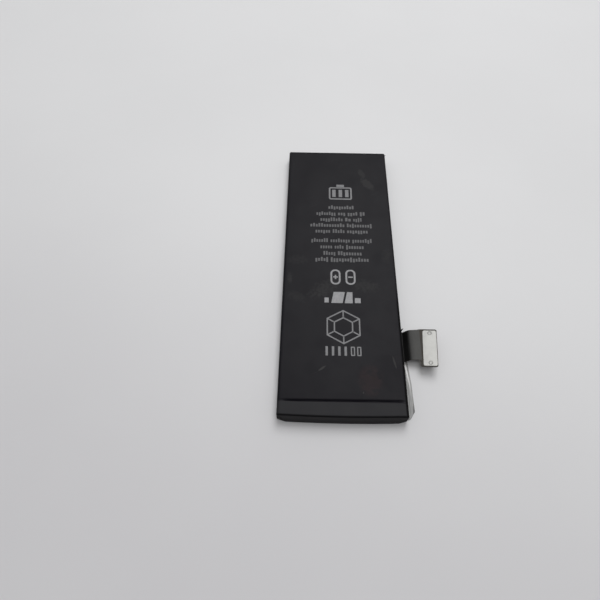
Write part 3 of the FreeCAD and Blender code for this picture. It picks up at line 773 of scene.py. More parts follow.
def print_poles(material):
    """A plus and a minus, each in a tall rounded frame."""
    bm = bmesh.new()
    for x0 in (-2.65, 1.6):
        print_frame(bm, x0, -7.9, x0 + 2.85, -2.75, 0.5, 1.35)
        middle = x0 + 1.425
        print_bar(bm, middle - 0.65, -5.53, middle + 0.65, -5.12)
    print_bar(bm, -1.43, -5.08, -1.02, -4.62)
    print_bar(bm, -1.43, -6.03, -1.02, -5.57)
    new_piece("print_poles", bm, material)


def print_solid_blocks(material):
    """Two leaning solid blocks between two small ones."""
    bm = bmesh.new()
    print_bar(bm, -4.36, -13.9, -3.2, -12.3)
    print_shape(bm, [(-2.5, -14.0), (0.6, -14.0), (1.3, -10.4), (-1.8, -10.4)])
    print_shape(bm, [(1.2, -14.0), (3.4, -14.0), (3.4, -10.4), (1.9, -10.4)])
    print_bar(bm, 4.0, -13.9, 5.6, -12.3)
    new_piece("print_solid_blocks", bm, material)


def print_hexagon(material):
    """Two hexagons, one in the other, joined by six ticks."""
    bm = bmesh.new()
    middle = Vector((0.68, -21.4))
    line_at_corners = 0.414

    def hexagon(reach):
        return [middle + direction(90 + 60 * k) * reach for k in range(6)]

    for reach in (5.2, 3.0):
        print_shape(bm, hexagon(reach), hexagon(reach - line_at_corners))
    for k in range(6):
        turn = Matrix.Rotation(math.radians(60 * k), 2)
        print_shape(bm, [middle + turn @ Vector(corner) for corner in rectangle(-0.17, 3.05, 0.17, 4.75)])
    new_piece("print_hexagon", bm, material)


def print_gauge(material):
    """A level gauge: six upright bars, the last two empty."""
    bm = bmesh.new()
    pitch = 1.64
    for k in range(6):
        x0 = -4.13 + pitch * k
        if k < 4:
            print_bar(bm, x0, -29.9, x0 + 0.62, -27.25)
        else:
            print_frame(bm, x0, -29.9, x0 + 1.1, -27.25, 0.3, 0.2)
    new_piece("print_gauge", bm, material)


# Sums in the shaders
def spaced(label):
    """A socket's name, which a keyword writes with _ for each space."""
    return label.replace("_", " ")


def feed(tree, socket, value):
    """Sets a socket to a number or a colour, or links what varies to it."""
    if isinstance(value, Varying):
        tree.links.new(value.socket, socket)
    else:
        socket.default_value = (*value, 1.0) if socket.type == "RGBA" else value


def add_node(tree, kind, feeds, out=0, **settings):
    """Adds a shader node, feeds its inputs by name or number, and gives one of its outputs."""
    node = tree.nodes.new("ShaderNode" + kind)
    for name, value in settings.items():
        setattr(node, name, value)
    for key, value in feeds.items():
        feed(tree, node.inputs[key], value)
    return Varying(tree, node.outputs[out])


class Varying:
    """What changes over a surface: one socket of a shader tree. Sums on it are written as sums."""

    def __init__(self, tree, socket):
        self.tree = tree
        self.socket = socket

    def math(self, operation, *others):
        return add_node(self.tree, "Math", dict(enumerate((self, *others))), operation=operation)

    def vector(self, operation, *others, out=0):
        return add_node(self.tree, "VectorMath", dict(enumerate((self, *others))), out, operation=operation)

    def __add__(self, other):
        return self.math("ADD", other)

    __radd__ = __add__

    def __sub__(self, other):
        return self.math("SUBTRACT", other)

    def __rsub__(self, number):
        return add_node(self.tree, "Math", {0: number, 1: self}, operation="SUBTRACT")

    def __mul__(self, other):
        return self.math("MULTIPLY", other)

    def __truediv__(self, other):
        return self.math("DIVIDE", other)

    def __pow__(self, power):
        return self.math("POWER", power)

    def __abs__(self):
        return self.math("ABSOLUTE")

    def larger(self, other):
        return self.math("MAXIMUM", other)

    def ramp(self, low, high):
        """0 at low and before it, 1 at high and past it, smooth between."""
        feeds = {"Value": self, "From Min": low, "From Max": high}
        return add_node(self.tree, "MapRange", feeds, interpolation_type="SMOOTHSTEP")

    def line(self, low, high, start, end):
        """Start at low, end at high, straight between."""
        feeds = {"Value": self, "From Min": low, "From Max": high, "To Min": start, "To Max": end}
        return add_node(self.tree, "MapRange", feeds)

    def tones(self, first, second):
        """Two colours mixed by this mask."""
        return add_node(self.tree, "Mix", {0: self, 6: first, 7: second}, 2, data_type="RGBA")

    def levels(self, first, second):
        """Two numbers mixed by this mask."""
        return add_node(self.tree, "Mix", {0: self, 2: first, 3: second})

    def noise(self, scale, detail=4.0, roughness=0.55):
        feeds = {"Vector": self, "Scale": scale, "Detail": detail, "Roughness": roughness}
        return add_node(self.tree, "TexNoise", feeds, "Fac")

    def bump(self, strength, depth):
        """A surface normal from this height. The depth is in millimetres."""
        feeds = {"Strength": strength, "Distance": depth * 0.001, "Height": self}
        return add_node(self.tree, "Bump", feeds, "Normal")

    def axes(self):
        node = self.tree.nodes.new("ShaderNodeSeparateXYZ")
        feed(self.tree, node.inputs[0], self)
        return [Varying(self.tree, socket) for socket in node.outputs]

    def length(self):
        return self.vector("LENGTH", out="Value")

    def scaled(self, share):
        return add_node(self.tree, "VectorMath", {0: self, "Scale": share}, operation="SCALE")

    def stretched(self, x, y, z):
        """This vector with each of its parts times its own share."""
        return self.vector("MULTIPLY", add_node(self.tree, "CombineXYZ", {"X": x, "Y": y, "Z": z}))

    def about(self, x, y, angle=0.0):
        """The vector from a middle point to this one, turned by an angle about Z."""
        middle = add_node(self.tree, "CombineXYZ", {"X": x, "Y": y})
        feeds = {"Vector": self.vector("SUBTRACT", middle), "Angle": angle}
        return add_node(self.tree, "VectorRotate", feeds, rotation_type="Z_AXIS")


def place_in_mm(tree):
    """Each point's place in the row frame, in millimetres."""
    return add_node(tree, "TexCoord", {}, "Object").vector("MULTIPLY", (1000, 1000, 1000))


# Shader effects that several materials share, each a node group
EFFECTS = {}


def effect(**inputs):
    """Makes a node group of a function that gives its outputs by name. All inputs are numbers."""
    def build(make):
        tree = bpy.data.node_groups.new(make.__name__, "ShaderNodeTree")
        for label, value in inputs.items():
            socket = tree.interface.new_socket(spaced(label), in_out="INPUT", socket_type="NodeSocketFloat")
            socket.default_value = value
        given = tree.nodes.new("NodeGroupInput").outputs
        made = make(place_in_mm(tree), *[Varying(tree, given[spaced(label)]) for label in inputs])
        for label in made:
            tree.interface.new_socket(label, in_out="OUTPUT", socket_type="NodeSocketFloat")
        result = tree.nodes.new("NodeGroupOutput").inputs
        for label, value in made.items():
            feed(tree, result[label], value)
        EFFECTS[make.__name__] = tree
        return make
    return build


def use(tree, name, **values):
    """Places a shared effect in a material with its own values, and gives what it puts out."""
    node = tree.nodes.new("ShaderNodeGroup")
    node.node_tree = EFFECTS[name]
    for label, value in values.items():
        node.inputs[spaced(label)].default_value = value
    made = [Varying(tree, socket) for socket in node.outputs]
    return made if len(made) > 1 else made[0]


@effect(Scale=6.0)
def fine_grain(place, scale):
    """Fine even tooth of a moulded or coated surface."""
    return {"Height": place.noise(scale, 3.0, 0.6)}


@effect(Scale=0.1, Low=0.35, High=0.65)
def slow_mottle(place, scale, low, high):
    """Slow uneven tone, as handling and age leave it."""
    return {"Mask": place.noise(scale).ramp(low, high)}


@effect(Middle_X=0.0, Middle_Y=0.0, Half_Length=4.0, Half_Width=1.0, Angle=0.0, Break_Up=0.5, Softness=0.0)
def rubbed_patch(place, x, y, half_length, half_width, angle, break_up, softness):
    """A soft rubbed patch: an ellipse with a broken edge."""
    along_it, across_it, _ = place.about(x, y, angle).axes()
    ragged = (place.noise(1.1) - 0.5) * break_up * 4.0
    spread = (along_it / half_length) ** 2 + (across_it / half_width) ** 2 + ragged
    return {"Mask": 1 - spread.ramp(0.25 - softness, 1 + softness)}


@effect(Angle=0.0, Amount=0.5)
def hair_scratches(place, angle, amount):
    """Sparse hair scratches that run one way."""
    hairs = place.about(0, 0, angle).stretched(0.12, 5.0, 1.0).noise(1.0, 1.0).ramp(0.70, 0.76)
    gaps = place.noise(0.12, 2.0).ramp(0.52, 0.66)
    return {"Mask": hairs * gaps * amount}


@effect(Across=14.0, Along=0.4)
def rolled_lines(place, across, along_it):
    """Long fine lines of a rolled or brushed sheet."""
    return {"Height": place.stretched(across, along_it, along_it).noise(1.0, 3.0, 0.65)}


@effect(Middle_X=0.0, Middle_Y=0.0, Reach=4.0)
def finger_touch(place, x, y, reach):
    """A finger's touch: a round patch with broken curved ridges."""
    away = place.about(x, y).stretched(1.15, 0.85, 0.0).length()
    ridges = ((away + place.noise(0.35, 2.0) * 3.0) * 13.0).math("SINE") * 0.5 + 0.5
    inside = 1 - away.ramp(reach * 0.55, reach)
    mask = inside * place.noise(0.45, 3.0).ramp(0.3, 0.56)
    return {"Mask": mask, "Ridges": mask * ridges}


@effect(Middle_X=0.0, Middle_Y=0.0, Radius=0.5)
def pressed_ring(place, x, y, radius):
    """A thin broken ring about a point."""
    from_ring = abs(place.about(x, y).stretched(1, 1, 0).length() - radius)
    broken = place.noise(1.3, 1.0).ramp(0.35, 0.6)
    return {"Mask": (1 - from_ring.ramp(0.04, 0.17)) * broken.levels(0.45, 1.0)}


@effect(Scale=0.4)
def foil_crinkles(place, scale):
    """Soft crinkles of foil drawn over a cell, with sharp crests."""
    from_crest = abs(place.noise(scale, 3.0) - 0.5)
    return {"Height": 1 - from_crest * 4.0 + place.noise(7.0, 2.0) * 0.15}


@effect(Scale=4.0)
def foam_cells(place, scale):
    """Open round cells of foam."""
    cells = add_node(place.tree, "TexVoronoi", {"Vector": place, "Scale": scale}, "Distance")
    return {"Height": cells.ramp(0.1, 0.6)}


@effect(Per_mm=1.25, Radius=0.3)
def pressed_dots(place, per_mm, radius):
    """Rows of small round dots, as a welding head or a press leaves them."""
    from_middle = place.scaled(per_mm).vector("FRACTION").vector("SUBTRACT", (0.5, 0.5, 0.5))
    return {"Height": from_middle.stretched(1, 1, 0).length().ramp(radius * 0.6, radius)}


@effect(Along=0.3, Across=3.5)
def tissue_fibres(place, along_it, across):
    """Crossed fibres of a tissue carrier under adhesive."""
    layers = []
    for angle in (0.35, 1.1, -0.6):
        layers.append(place.about(0, 0, angle).stretched(along_it, across, 0).noise(1.0, 2.0).ramp(0.5, 0.7))
    return {"Height": layers[0].larger(layers[1]).larger(layers[2])}


@effect(Per_mm=1.6)
def copper_tracks(place, per_mm):
    """Copper tracks under a solder mask: parallel lines that change direction from place to place."""
    x, y, _ = place.scaled(per_mm).vector("FRACTION").axes()
    lines = [1 - abs(part - 0.5).ramp(0.18, 0.26) for part in (x, y)]
    turned = place.noise(0.35, 0.0).ramp(0.49, 0.51)
    poured = place.noise(0.25, 0.0).ramp(0.56, 0.57)
    return {"Mask": turned.levels(*lines).larger(poured)}


# Materials
def set_shader(tree, **values):
    """Sets or links the Principled shader's own sockets."""
    sockets = tree.nodes["Principled BSDF"].inputs
    for label, value in values.items():
        feed(tree, sockets[spaced(label)], value)


def new_material(name, slot, **constants):
    material = bpy.data.materials.new(name)
    material.use_nodes = True
    material["slot"] = slot
    set_shader(material.node_tree, **constants)
    return material, material.node_tree


# Rubbed places on the label: middle x and y, half length, half width, angle, break up, softness, strength
LABEL_RUBS = (
    (7.8, 35.9, 2.5, 1.1, -1.25, 0.45, 0.1, 0.375),
    (9.4, 31.3, 3.5, 1.6, -0.97, 0.45, 0.1, 0.475),
    (-5.0, -33.5, 1.4, 0.34, 0.65, 0.25, 0.0, 0.95),
    (13.5, -31.4, 2.0, 0.3, -1.35, 0.25, 0.0, 0.75),
    (-12.2, 0.6, 3.0, 1.6, 0.1, 0.8, 0.6, 0.25),
    (-4.5, -9.4, 4.6, 2.2, 0.5, 0.9, 0.6, 0.425),
    (7.0, -8.2, 3.8, 2.0, -0.15, 0.9, 0.6, 0.425),
    (13.7, 2.3, 2.8, 1.3, 1.4, 0.8, 0.6, 0.25),
    (-12.2, -12.2, 2.8, 1.5, -0.5, 0.8, 0.6, 0.25),
    (-14.2, -5.9, 2.0, 0.8, -1.5, 0.6, 0.3, 0.4),
    (5.2, -39.8, 0.34, 0.17, 1.4, 0.0, 0.0, 1.0),
)
# A finger's mark: middle x and y, reach
FINGER_MARK = (7.2, -36.5, 4.3)
BLACK = (0.0031, 0.0026, 0.0049)
BLACK_FADED = (0.0051, 0.0045, 0.0069)
RUBBED = (0.0408, 0.0405, 0.0405)
TOUCHED = (0.0170, 0.0114, 0.0132)
# Painted sheen: the near strip past the valley is given a lighter tone than the black film
STRIP_PAINTED_SHEEN = (0.0185, 0.0182, 0.0205)
# Painted shade on the film's rounded edges: over each end, and on the right side towards the board end
EDGE_PAINTED_SHADE = (0.0022, 0.0021, 0.0024)
# Painted reflection: the black film on the end walls is given a grey tone, as the pale floor's light on it
WALL_PAINTED_LIGHT = (0.036, 0.035, 0.0365)
# Roughness of the film: clean and smudged, on the finger's ridges, where rubbed and where it is turned down
LABEL_ROUGHNESS = (0.37, 0.42)
RIDGE_ROUGHNESS = 0.52
RUBBED_ROUGHNESS = 0.55
EDGE_ROUGHNESS = 0.85
# Along the right side the rounded edge catches light down to here; from there on painted shade darkens it
SIDE_LIT_END = -8.0
SIDE_DARK_START = -16.0


def past_end(x, y):
    """How far a point lies past the nearer end of the film, which is bowed at the near end."""
    bow = (1 - ((x - BOW_MIDDLE) / BOW_HALF) ** 2).larger(0.0) * BOW
    return (y * -1 - bow).larger(y) - HALF_LENGTH


def film_material():
    """Black satin label film with rubs, hair scratches and a finger's touch, with a painted sheen on its near
    strip and end walls and painted shade on its turned-down edges.
    """
    material, tree = new_material("black_label_film", "label_film", IOR=1.45, Specular_IOR_Level=0.11)
    x, y, _ = place_in_mm(tree).axes()
    colour = use(tree, "slow_mottle", Scale=0.06).tones(BLACK, BLACK_FADED)
    # Painted sheen: the near strip past the valley takes the lighter tone
    off_strip = y.ramp(VALLEY_Y - 0.6, VALLEY_Y - 0.2)
    colour = off_strip.tones(STRIP_PAINTED_SHEEN, colour)
    beyond = past_end(x, y)
    # Painted shade: the rounds over the ends and the lower right side turn nearly black
    at_side = x.ramp(HALF_WIDTH - 0.8, HALF_WIDTH - 0.45) * y.ramp(SIDE_LIT_END, SIDE_DARK_START)
    turned_down = beyond.ramp(-0.62, -0.08).larger(at_side)
    # Past the ends, on the walls, the painted reflection of the floor takes over
    folded = beyond.ramp(-0.06, 0.02)
    colour = turned_down.tones(colour, folded.tones(EDGE_PAINTED_SHADE, WALL_PAINTED_LIGHT))
    rubbed = use(tree, "hair_scratches", Angle=-0.5, Amount=0.25)
    for middle_x, middle_y, half_length, half_width, angle, break_up, softness, strength in LABEL_RUBS:
        patch = use(tree, "rubbed_patch", Middle_X=middle_x, Middle_Y=middle_y, Half_Length=half_length,
                    Half_Width=half_width, Angle=-angle, Break_Up=break_up, Softness=softness)
        rubbed = rubbed.larger(patch * strength)
    middle_x, middle_y, reach = FINGER_MARK
    touched, ridges = use(tree, "finger_touch", Middle_X=middle_x, Middle_Y=middle_y, Reach=reach)
    smudges = use(tree, "slow_mottle", Scale=0.16, Low=0.4, High=0.7)
    roughness = ridges.levels(smudges.levels(*LABEL_ROUGHNESS), RIDGE_ROUGHNESS)
    roughness = turned_down.levels(rubbed.levels(roughness, RUBBED_ROUGHNESS), EDGE_ROUGHNESS)
    set_shader(tree, Base_Color=touched.tones(rubbed.tones(colour, RUBBED), TOUCHED), Roughness=roughness,
               Normal=use(tree, "fine_grain", Scale=5.0).bump(0.25, 0.006))
    return material


def plain_finish(name, slot, dark, light, roughness, depth=0.01, scale=0.3, **constants):
    """A surface with uneven tone, uneven roughness and a fine tooth."""
    material, tree = new_material(name, slot, **constants)
    mask = use(tree, "slow_mottle", Scale=scale)
    set_shader(tree, Base_Color=mask.tones(dark, light), Roughness=mask.levels(roughness, roughness * 1.25),
               Normal=use(tree, "fine_grain", Scale=5.0).bump(0.4, depth))
    return material


# Painted shade: the cover film turns black where the tongue rises from the slot in the pack's shadow
COVER_ROOT_SHADE = (0.004, 0.004, 0.004)
COVER_BLACK_END = 17.6
COVER_GREY_START = 19.6


def cover_film():
    """Grey cover film of the flexible circuit, with painted shade that blackens it towards its root, where it
    rises beside the pack.
    """
    material, tree = new_material("grey_cover_film", "flex_film", Specular_IOR_Level=0.3)
    x, _, _ = place_in_mm(tree).axes()
    mask = use(tree, "slow_mottle", Scale=0.4)
    grey = mask.tones((0.046, 0.046, 0.043), (0.054, 0.054, 0.051))
    set_shader(tree, Base_Color=x.ramp(COVER_BLACK_END, COVER_GREY_START).tones(COVER_ROOT_SHADE, grey),
               Roughness=mask.levels(0.5, 0.6), Normal=use(tree, "fine_grain", Scale=5.0).bump(0.4, 0.004))
    return material


STEEL_DARK = (0.40, 0.40, 0.387)
STEEL_LIGHT = (0.434, 0.434, 0.42)
# Painted shade in the ring grooves of the two press marks
MARK_GROOVE_SHADE = (0.10, 0.10, 0.095)
MARK_STRENGTH = 0.58


def plate_metal():
    """Satin steel with its rolling lines, with painted shade in the grooves of its two press marks."""
    material, tree = new_material("satin_steel", "plate_steel", Metallic=1.0)
    colour = use(tree, "slow_mottle", Scale=0.5, Low=0.3, High=0.7).tones(STEEL_DARK, STEEL_LIGHT)
    for x, y in (mark_place(1), mark_place(-1)):
        ring = use(tree, "pressed_ring", Middle_X=x, Middle_Y=y, Radius=MARK_RADIUS - 0.1)
        colour = (ring * MARK_STRENGTH).tones(colour, MARK_GROOVE_SHADE)
    lines = use(tree, "rolled_lines", Across=12.0, Along=0.5)
    set_shader(tree, Base_Color=colour, Roughness=lines.levels(0.60, 0.68), Normal=lines.bump(0.25, 0.004))
    return material


# Tones of the clear tab: its streaks, painted shade on the stretch beside the pack, a painted highlight on
# its fold and painted shade at its cut edge
CLEAR_DARK = (0.33, 0.33, 0.33)
CLEAR_LIGHT = (0.50, 0.50, 0.49)
CLEAR_PACK_SHADE = (0.12, 0.12, 0.12)
CLEAR_FOLD_HIGHLIGHT = (0.88, 0.88, 0.87)
CLEAR_EDGE_SHADE = (0.06, 0.06, 0.06)
# How dense it is between and on its streaks, on its fold and at its cut edge
CLEAR_DENSITY = (0.60, 0.70)
CLEAR_FOLD_DENSITY = 0.92
CLEAR_EDGE_DENSITY = 0.88
# Painted highlight along its fold: x at the bend and at the far end, and where along Y its strength grows,
# from and to what
CLEAR_FOLD_X = (17.62, 16.75)
CLEAR_FOLD_GROWS = (-39.5, -34.0)
CLEAR_FOLD_STRENGTH = (0.08, 0.9)


def clear_film():
    """Frosted clear film: its cut edge and its fold are denser than its face. Painted shade darkens its cut
    edge and the stretch beside the pack, and a painted highlight lightens its fold.
    """
    material, tree = new_material("frosted_clear_film", "clear_film", IOR=1.4)
    x, y, _ = place_in_mm(tree).axes()
    lines = use(tree, "rolled_lines", Across=3.0, Along=0.12)
    streaks = lines.ramp(0.42, 0.62)
    past_bend = y.line(TAB_BEND_Y, TAB_HIGH.y, TAB_BEND_X, TAB_FAR_X)
    edge_x = past_bend + y.line(TAB_CORNER_Y, TAB_BEND_Y, TAB_CORNER_X - TAB_BEND_X, 0.0)
    near_corner = y.ramp(TAB_NEAR + 5.8, TAB_NEAR + 1.9)
    # Painted shade: a dark line along the cut edge
    cut_edge = 1 - (edge_x - x).ramp(0.10, near_corner.levels(0.30, 0.75))
    cut_edge *= near_corner.levels(0.12, 0.9)
    # Painted highlight: a pale streak along the fold
    from_fold = abs(x - y.line(TAB_BEND_Y - 0.5, TAB_HIGH.y, *CLEAR_FOLD_X))
    fold = (1 - from_fold.ramp(0.06, 0.30)) * y.line(*CLEAR_FOLD_GROWS, *CLEAR_FOLD_STRENGTH)
    # Painted shade: the film darkens beside the pack, in its shadow
    pack_shade = (1 - x.ramp(HALF_WIDTH + 0.1, HALF_WIDTH + 1.2)) * 0.75
    colour = pack_shade.tones(streaks.tones(CLEAR_DARK, CLEAR_LIGHT), CLEAR_PACK_SHADE)
    colour = cut_edge.tones(fold.tones(colour, CLEAR_FOLD_HIGHLIGHT), CLEAR_EDGE_SHADE)
    density = fold.levels(streaks.levels(*CLEAR_DENSITY), CLEAR_FOLD_DENSITY)
    density = cut_edge.levels(density, CLEAR_EDGE_DENSITY)
    roughness = use(tree, "slow_mottle", Scale=0.5).levels(0.28, 0.42)
    set_shader(tree, Base_Color=colour, Roughness=roughness, Alpha=density, Normal=lines.bump(0.3, 0.02))
    return material


def board_finish():
    """Green solder mask over copper tracks, raised and lighter where the copper runs."""
    material, tree = new_material("board_finish", "board")
    tracks = use(tree, "copper_tracks")
    mottle = use(tree, "slow_mottle", Scale=0.6)
    masked = mottle.tones((0.008, 0.060, 0.028), (0.010, 0.072, 0.034))
    set_shader(tree, Base_Color=tracks.tones(masked, (0.030, 0.150, 0.060)),
               Roughness=mottle.levels(0.28, 0.38), Normal=tracks.bump(0.5, 0.02))
    return material


def ceramic_finish(axis):
    """Ceramic body of a small part, with plated ends along its length. Axis 0 is X and 1 is Y."""
    material, tree = new_material(f"chip_ceramic_long_in_{'xy'[axis]}", "chip_ceramic")
    in_box = add_node(tree, "TexCoord", {}, "Generated").axes()
    plated = abs(in_box[axis] - 0.5).ramp(0.27, 0.30)
    mottle = use(tree, "slow_mottle", Scale=2.0)
    body = mottle.tones((0.26, 0.17, 0.10), (0.33, 0.22, 0.14))
    tin = mottle.tones((0.52, 0.52, 0.51), (0.62, 0.62, 0.60))
    set_shader(tree, Base_Color=plated.tones(body, tin), Metallic=plated, Roughness=plated.levels(0.45, 0.32),
               Normal=use(tree, "fine_grain", Scale=9.0).bump(0.4, 0.01))
    return material


# Slot: tones of its hollows and heights, roughness of both, metallic, relief, the relief's values, its depth
RELIEF_FINISHES = {
    "pouch_foil": ((0.44, 0.45, 0.46), (0.58, 0.59, 0.60), 0.30, 0.46, 1.0, "foil_crinkles", {}, 0.05),
    "aluminium_tab": ((0.56, 0.56, 0.56), (0.68, 0.68, 0.68), 0.28, 0.42, 1.0,
                      "rolled_lines", {"Across": 9.0}, 0.006),
    "nickel": ((0.36, 0.34, 0.31), (0.58, 0.56, 0.52), 0.26, 0.42, 1.0, "pressed_dots", {}, 0.04),
    "seal_film": ((0.52, 0.50, 0.42), (0.66, 0.64, 0.56), 0.35, 0.5, 0.0,
                  "rolled_lines", {"Across": 4.0}, 0.02),
    "foam": ((0.010, 0.010, 0.010), (0.050, 0.050, 0.050), 0.85, 1.0, 0.0, "foam_cells", {}, 0.12),
    "chip_resin": ((0.014, 0.014, 0.014), (0.030, 0.030, 0.030), 0.45, 0.6, 0.0,
                   "fine_grain", {"Scale": 14.0}, 0.01),
    "polyimide": ((0.30, 0.12, 0.015), (0.46, 0.21, 0.04), 0.22, 0.36, 0.0,
                  "rolled_lines", {"Across": 2.5}, 0.01),
    "plug_resin": ((0.022, 0.022, 0.022), (0.045, 0.045, 0.045), 0.4, 0.55, 0.0,
                   "fine_grain", {"Scale": 9.0}, 0.008),
    "gold": ((0.62, 0.41, 0.14), (0.80, 0.58, 0.25), 0.18, 0.32, 1.0,
             "rolled_lines", {"Across": 16.0}, 0.004),
    "adhesive": ((0.035, 0.035, 0.037), (0.075, 0.075, 0.078), 0.35, 0.6, 0.0, "tissue_fibres", {}, 0.02),
    "clear_adhesive": ((0.55, 0.55, 0.53), (0.70, 0.70, 0.68), 0.2, 0.4, 0.0,
                       "foam_cells", {"Scale": 1.5}, 0.01),
}


def relief_finish(slot, low_tone, high_tone, smooth, rough, metallic, relief, values, depth):
    """A surface whose tone, gloss and bump all follow one relief, over a slow uneven tone."""
    material, tree = new_material(slot + "_finish", slot, Metallic=metallic)
    height = use(tree, relief, **values)
    share = height * 0.6 + use(tree, "slow_mottle", Scale=0.4) * 0.4
    set_shader(tree, Base_Color=share.tones(low_tone, high_tone), Roughness=share.levels(smooth, rough),
               Normal=height.bump(0.5, depth))
    return material


# Inks, and the plain films: slot, darker and lighter tone, roughness, and what differs from the usual
PLAIN_FINISHES = {
    "pale_ink": ("label_film", (0.25, 0.25, 0.26), (0.31, 0.31, 0.32), 0.5, {"scale": 2.0}),
    "pale_line_ink": ("label_film", (0.165, 0.165, 0.172), (0.205, 0.205, 0.212), 0.5, {"scale": 2.0}),
    "pale_fine_ink": ("label_film", (0.070, 0.070, 0.074), (0.093, 0.093, 0.097), 0.5, {"scale": 2.0}),
    "matt_slot_film": ("label_film", (0.006, 0.006, 0.006), (0.009, 0.009, 0.009), 0.7,
                       {"Specular_IOR_Level": 0.04}),
    "flex_base_film": ("flex_film", (0.046, 0.043, 0.037), (0.060, 0.055, 0.047), 0.6,
                       {"depth": 0.004, "Specular_IOR_Level": 0.2}),
}


def build_materials():
    made = {
        "film": film_material(),
        "cover": cover_film(),
        "steel": plate_metal(),
        "clear": clear_film(),
        "board": board_finish(),
        "chip_ceramic_x": ceramic_finish(0),
        "chip_ceramic_y": ceramic_finish(1),
    }
    for name, (slot, dark, light, roughness, others) in PLAIN_FINISHES.items():
        made[name] = plain_finish(name, slot, dark, light, roughness, **others)
    for slot, finish in RELIEF_FINISHES.items():
        made[slot] = relief_finish(slot, *finish)
    return made


def dress_nodes(materials):
    """Gives each solid that stays the finish of its own slot."""
    for entry in frame["record"]["subparts"]:
        slot = entry["material_slot"]
        if slot == "chip_ceramic":
            low, high = node_box(entry["node"])
            slot += "_x" if high.x - low.x > high.y - low.y else "_y"
        if slot in materials:
            data = NODES[entry["node"]].data
            data.materials.clear()
            data.materials.append(materials[slot])


# Floor, lamps and world
FLOOR_HALF_SIZE_M = 4.0
BACKDROP = (0.68, 0.677, 0.68)
# The floor runs out into the backdrop between these distances from the pack
SWEEP_START = 215.0
SWEEP_END = 430.0
# Tones of the floor, before the pack and past it: the nearer one darker, as painted light fall-off
FLOOR_NEAR = ((0.658, 0.653, 0.669), (0.668, 0.664, 0.678))
FLOOR_FAR = ((0.765, 0.768, 0.775), (0.775, 0.778, 0.785))
# One turns into the other between these values of y + 0.35 x
FLOOR_TURNS = (-110.0, 30.0)
# A painted pool of light: round this point beside the pack the floor is lighter by this factor
LIGHT_POOL_PLACE = (2.0, 12.0)
LIGHT_POOL_REACH = 100.0
LIGHT_POOL_FACTOR = 1.05
# Name, azimuth from +Y towards -X and elevation in degrees, distance and size in metres, watts
LAMPS = (
    ("window", -14, 60, 0.65, (0.34, 0.44), 1.9),
    ("ceiling", 190, 76, 0.9, (0.5, 0.5), 1.24),
)
# The room's light: its level, and what is added overhead, at the far wall and at the right wall
ROOM_LEVEL = 0.26
ROOM_OVERHEAD = 0.14
ROOM_FAR = 0.26
ROOM_RIGHT = -0.05
ROOM_COLOUR = (1.0, 0.995, 1.0)
BACKDROP_OVERHEAD = 0.1


def seen_rays(tree):
    """1 for what the camera sees, directly, in a reflection or through something clear."""
    rays = tree.nodes.new("ShaderNodeLightPath").outputs
    kinds = ("Is Camera Ray", "Is Glossy Ray", "Is Transmission Ray")
    camera, glossy, clear = [Varying(tree, rays[kind]) for kind in kinds]
    return camera.larger(glossy).larger(clear)


def pale_floor():
    """Pale floor that runs out into the backdrop, as a studio sweep does. Its colour holds painted light:
    darker before the pack than past it, and lighter round a place beside the pack.
    """
    material, tree = new_material("pale_floor", "none", Roughness=0.8, Specular_IOR_Level=0.2)
    place = place_in_mm(tree)
    x, y, _ = place.axes()
    mask = use(tree, "slow_mottle", Scale=0.02)
    # Painted light fall-off: the floor's tone darkens from far to near
    far_share = (y + x * 0.35).ramp(*FLOOR_TURNS)
    colour = far_share.tones(mask.tones(*FLOOR_NEAR), mask.tones(*FLOOR_FAR))
    # Painted pool of light round a place beside the pack
    in_light_pool = 1 - place.about(*LIGHT_POOL_PLACE).length().ramp(0.0, LIGHT_POOL_REACH)
    set_shader(tree, Base_Color=colour.scaled(in_light_pool.levels(1.0, LIGHT_POOL_FACTOR)),
               Normal=use(tree, "fine_grain", Scale=1.2).bump(0.2, 0.05))
    sweep = add_node(tree, "Emission", {"Color": BACKDROP})
    floor = Varying(tree, tree.nodes["Principled BSDF"].outputs["BSDF"])
    out_there = seen_rays(tree) * place.length().ramp(SWEEP_START, SWEEP_END)
    surface = add_node(tree, "MixShader", {0: out_there, 1: floor, 2: sweep})
    feed(tree, tree.nodes["Material Output"].inputs["Surface"], surface)
    return material


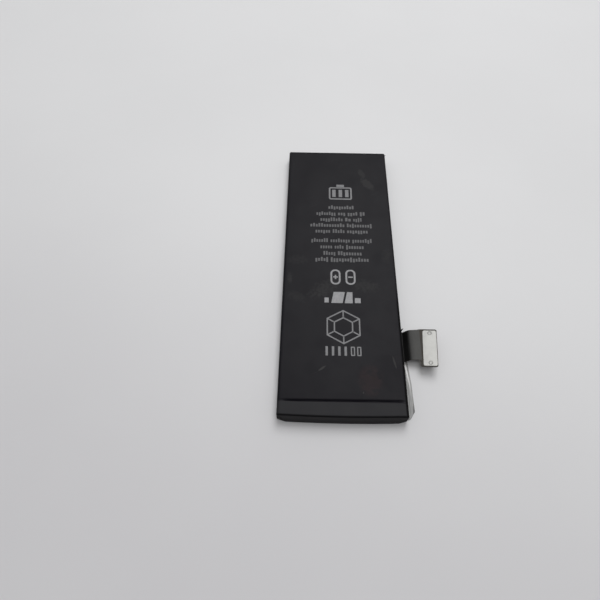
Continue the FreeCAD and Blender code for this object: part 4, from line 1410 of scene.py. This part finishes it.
def add_floor():
    bm = bmesh.new()
    bmesh.ops.create_grid(bm, x_segments=8, y_segments=8, size=FLOOR_HALF_SIZE_M)
    mesh = bpy.data.meshes.new("floor")
    bm.to_mesh(mesh)
    bm.free()
    mesh.materials.append(pale_floor())
    floor = bpy.data.objects.new("floor", mesh)
    bpy.context.scene.collection.objects.link(floor)


def add_lamp(name, azimuth, elevation, distance, size, watts):
    """A soft lamp that looks at the pack."""
    data = bpy.data.lights.new(name, "AREA")
    data.shape = "RECTANGLE"
    data.size, data.size_y = size
    data.energy = watts
    turn, rise = math.radians(azimuth), math.radians(elevation)
    flat = math.cos(rise)
    lamp = bpy.data.objects.new(name, data)
    lamp.location = Vector((-math.sin(turn) * flat, math.cos(turn) * flat, math.sin(rise))) * distance
    lamp.rotation_euler = (-lamp.location).to_track_quat("-Z", "Y").to_euler()
    bpy.context.scene.collection.objects.link(lamp)


def add_world():
    """A room that is lighter overhead and towards its far and left walls."""
    world = bpy.data.worlds.new("soft_room")
    world.use_nodes = True
    tree = world.node_tree
    x, y, z = add_node(tree, "TexCoord", {}, "Generated").axes()
    overhead = z.ramp(0.0, 0.9)
    level = overhead * ROOM_OVERHEAD + ROOM_LEVEL + y * ROOM_FAR + x * ROOM_RIGHT
    backdrop = overhead * BACKDROP_OVERHEAD + BACKDROP[0]
    sockets = tree.nodes["Background"].inputs
    feed(tree, sockets["Color"], ROOM_COLOUR)
    feed(tree, sockets["Strength"], seen_rays(tree).levels(level, backdrop))
    bpy.context.scene.world = world
    bpy.context.scene.view_settings.view_transform = "Standard"


add_camera()
MATERIALS = build_materials()
dress_nodes(MATERIALS)
label_film(MATERIALS["film"])
end_folds(MATERIALS["film"])
flexible_circuit(MATERIALS["flex_base_film"], MATERIALS["cover"])
slot_flap(MATERIALS["matt_slot_film"])
for ear in FILM_EARS:
    film_ear(MATERIALS["matt_slot_film"], *ear)
steel_plate(MATERIALS["steel"])
pull_tongue(MATERIALS["clear"])
print_rows(MATERIALS["pale_fine_ink"])
for make_print in (print_cell_sign, print_hexagon, print_gauge):
    make_print(MATERIALS["pale_line_ink"])
for make_print in (print_poles, print_solid_blocks):
    make_print(MATERIALS["pale_ink"])
add_floor()
for lamp_values in LAMPS:
    add_lamp(*lamp_values)
add_world()
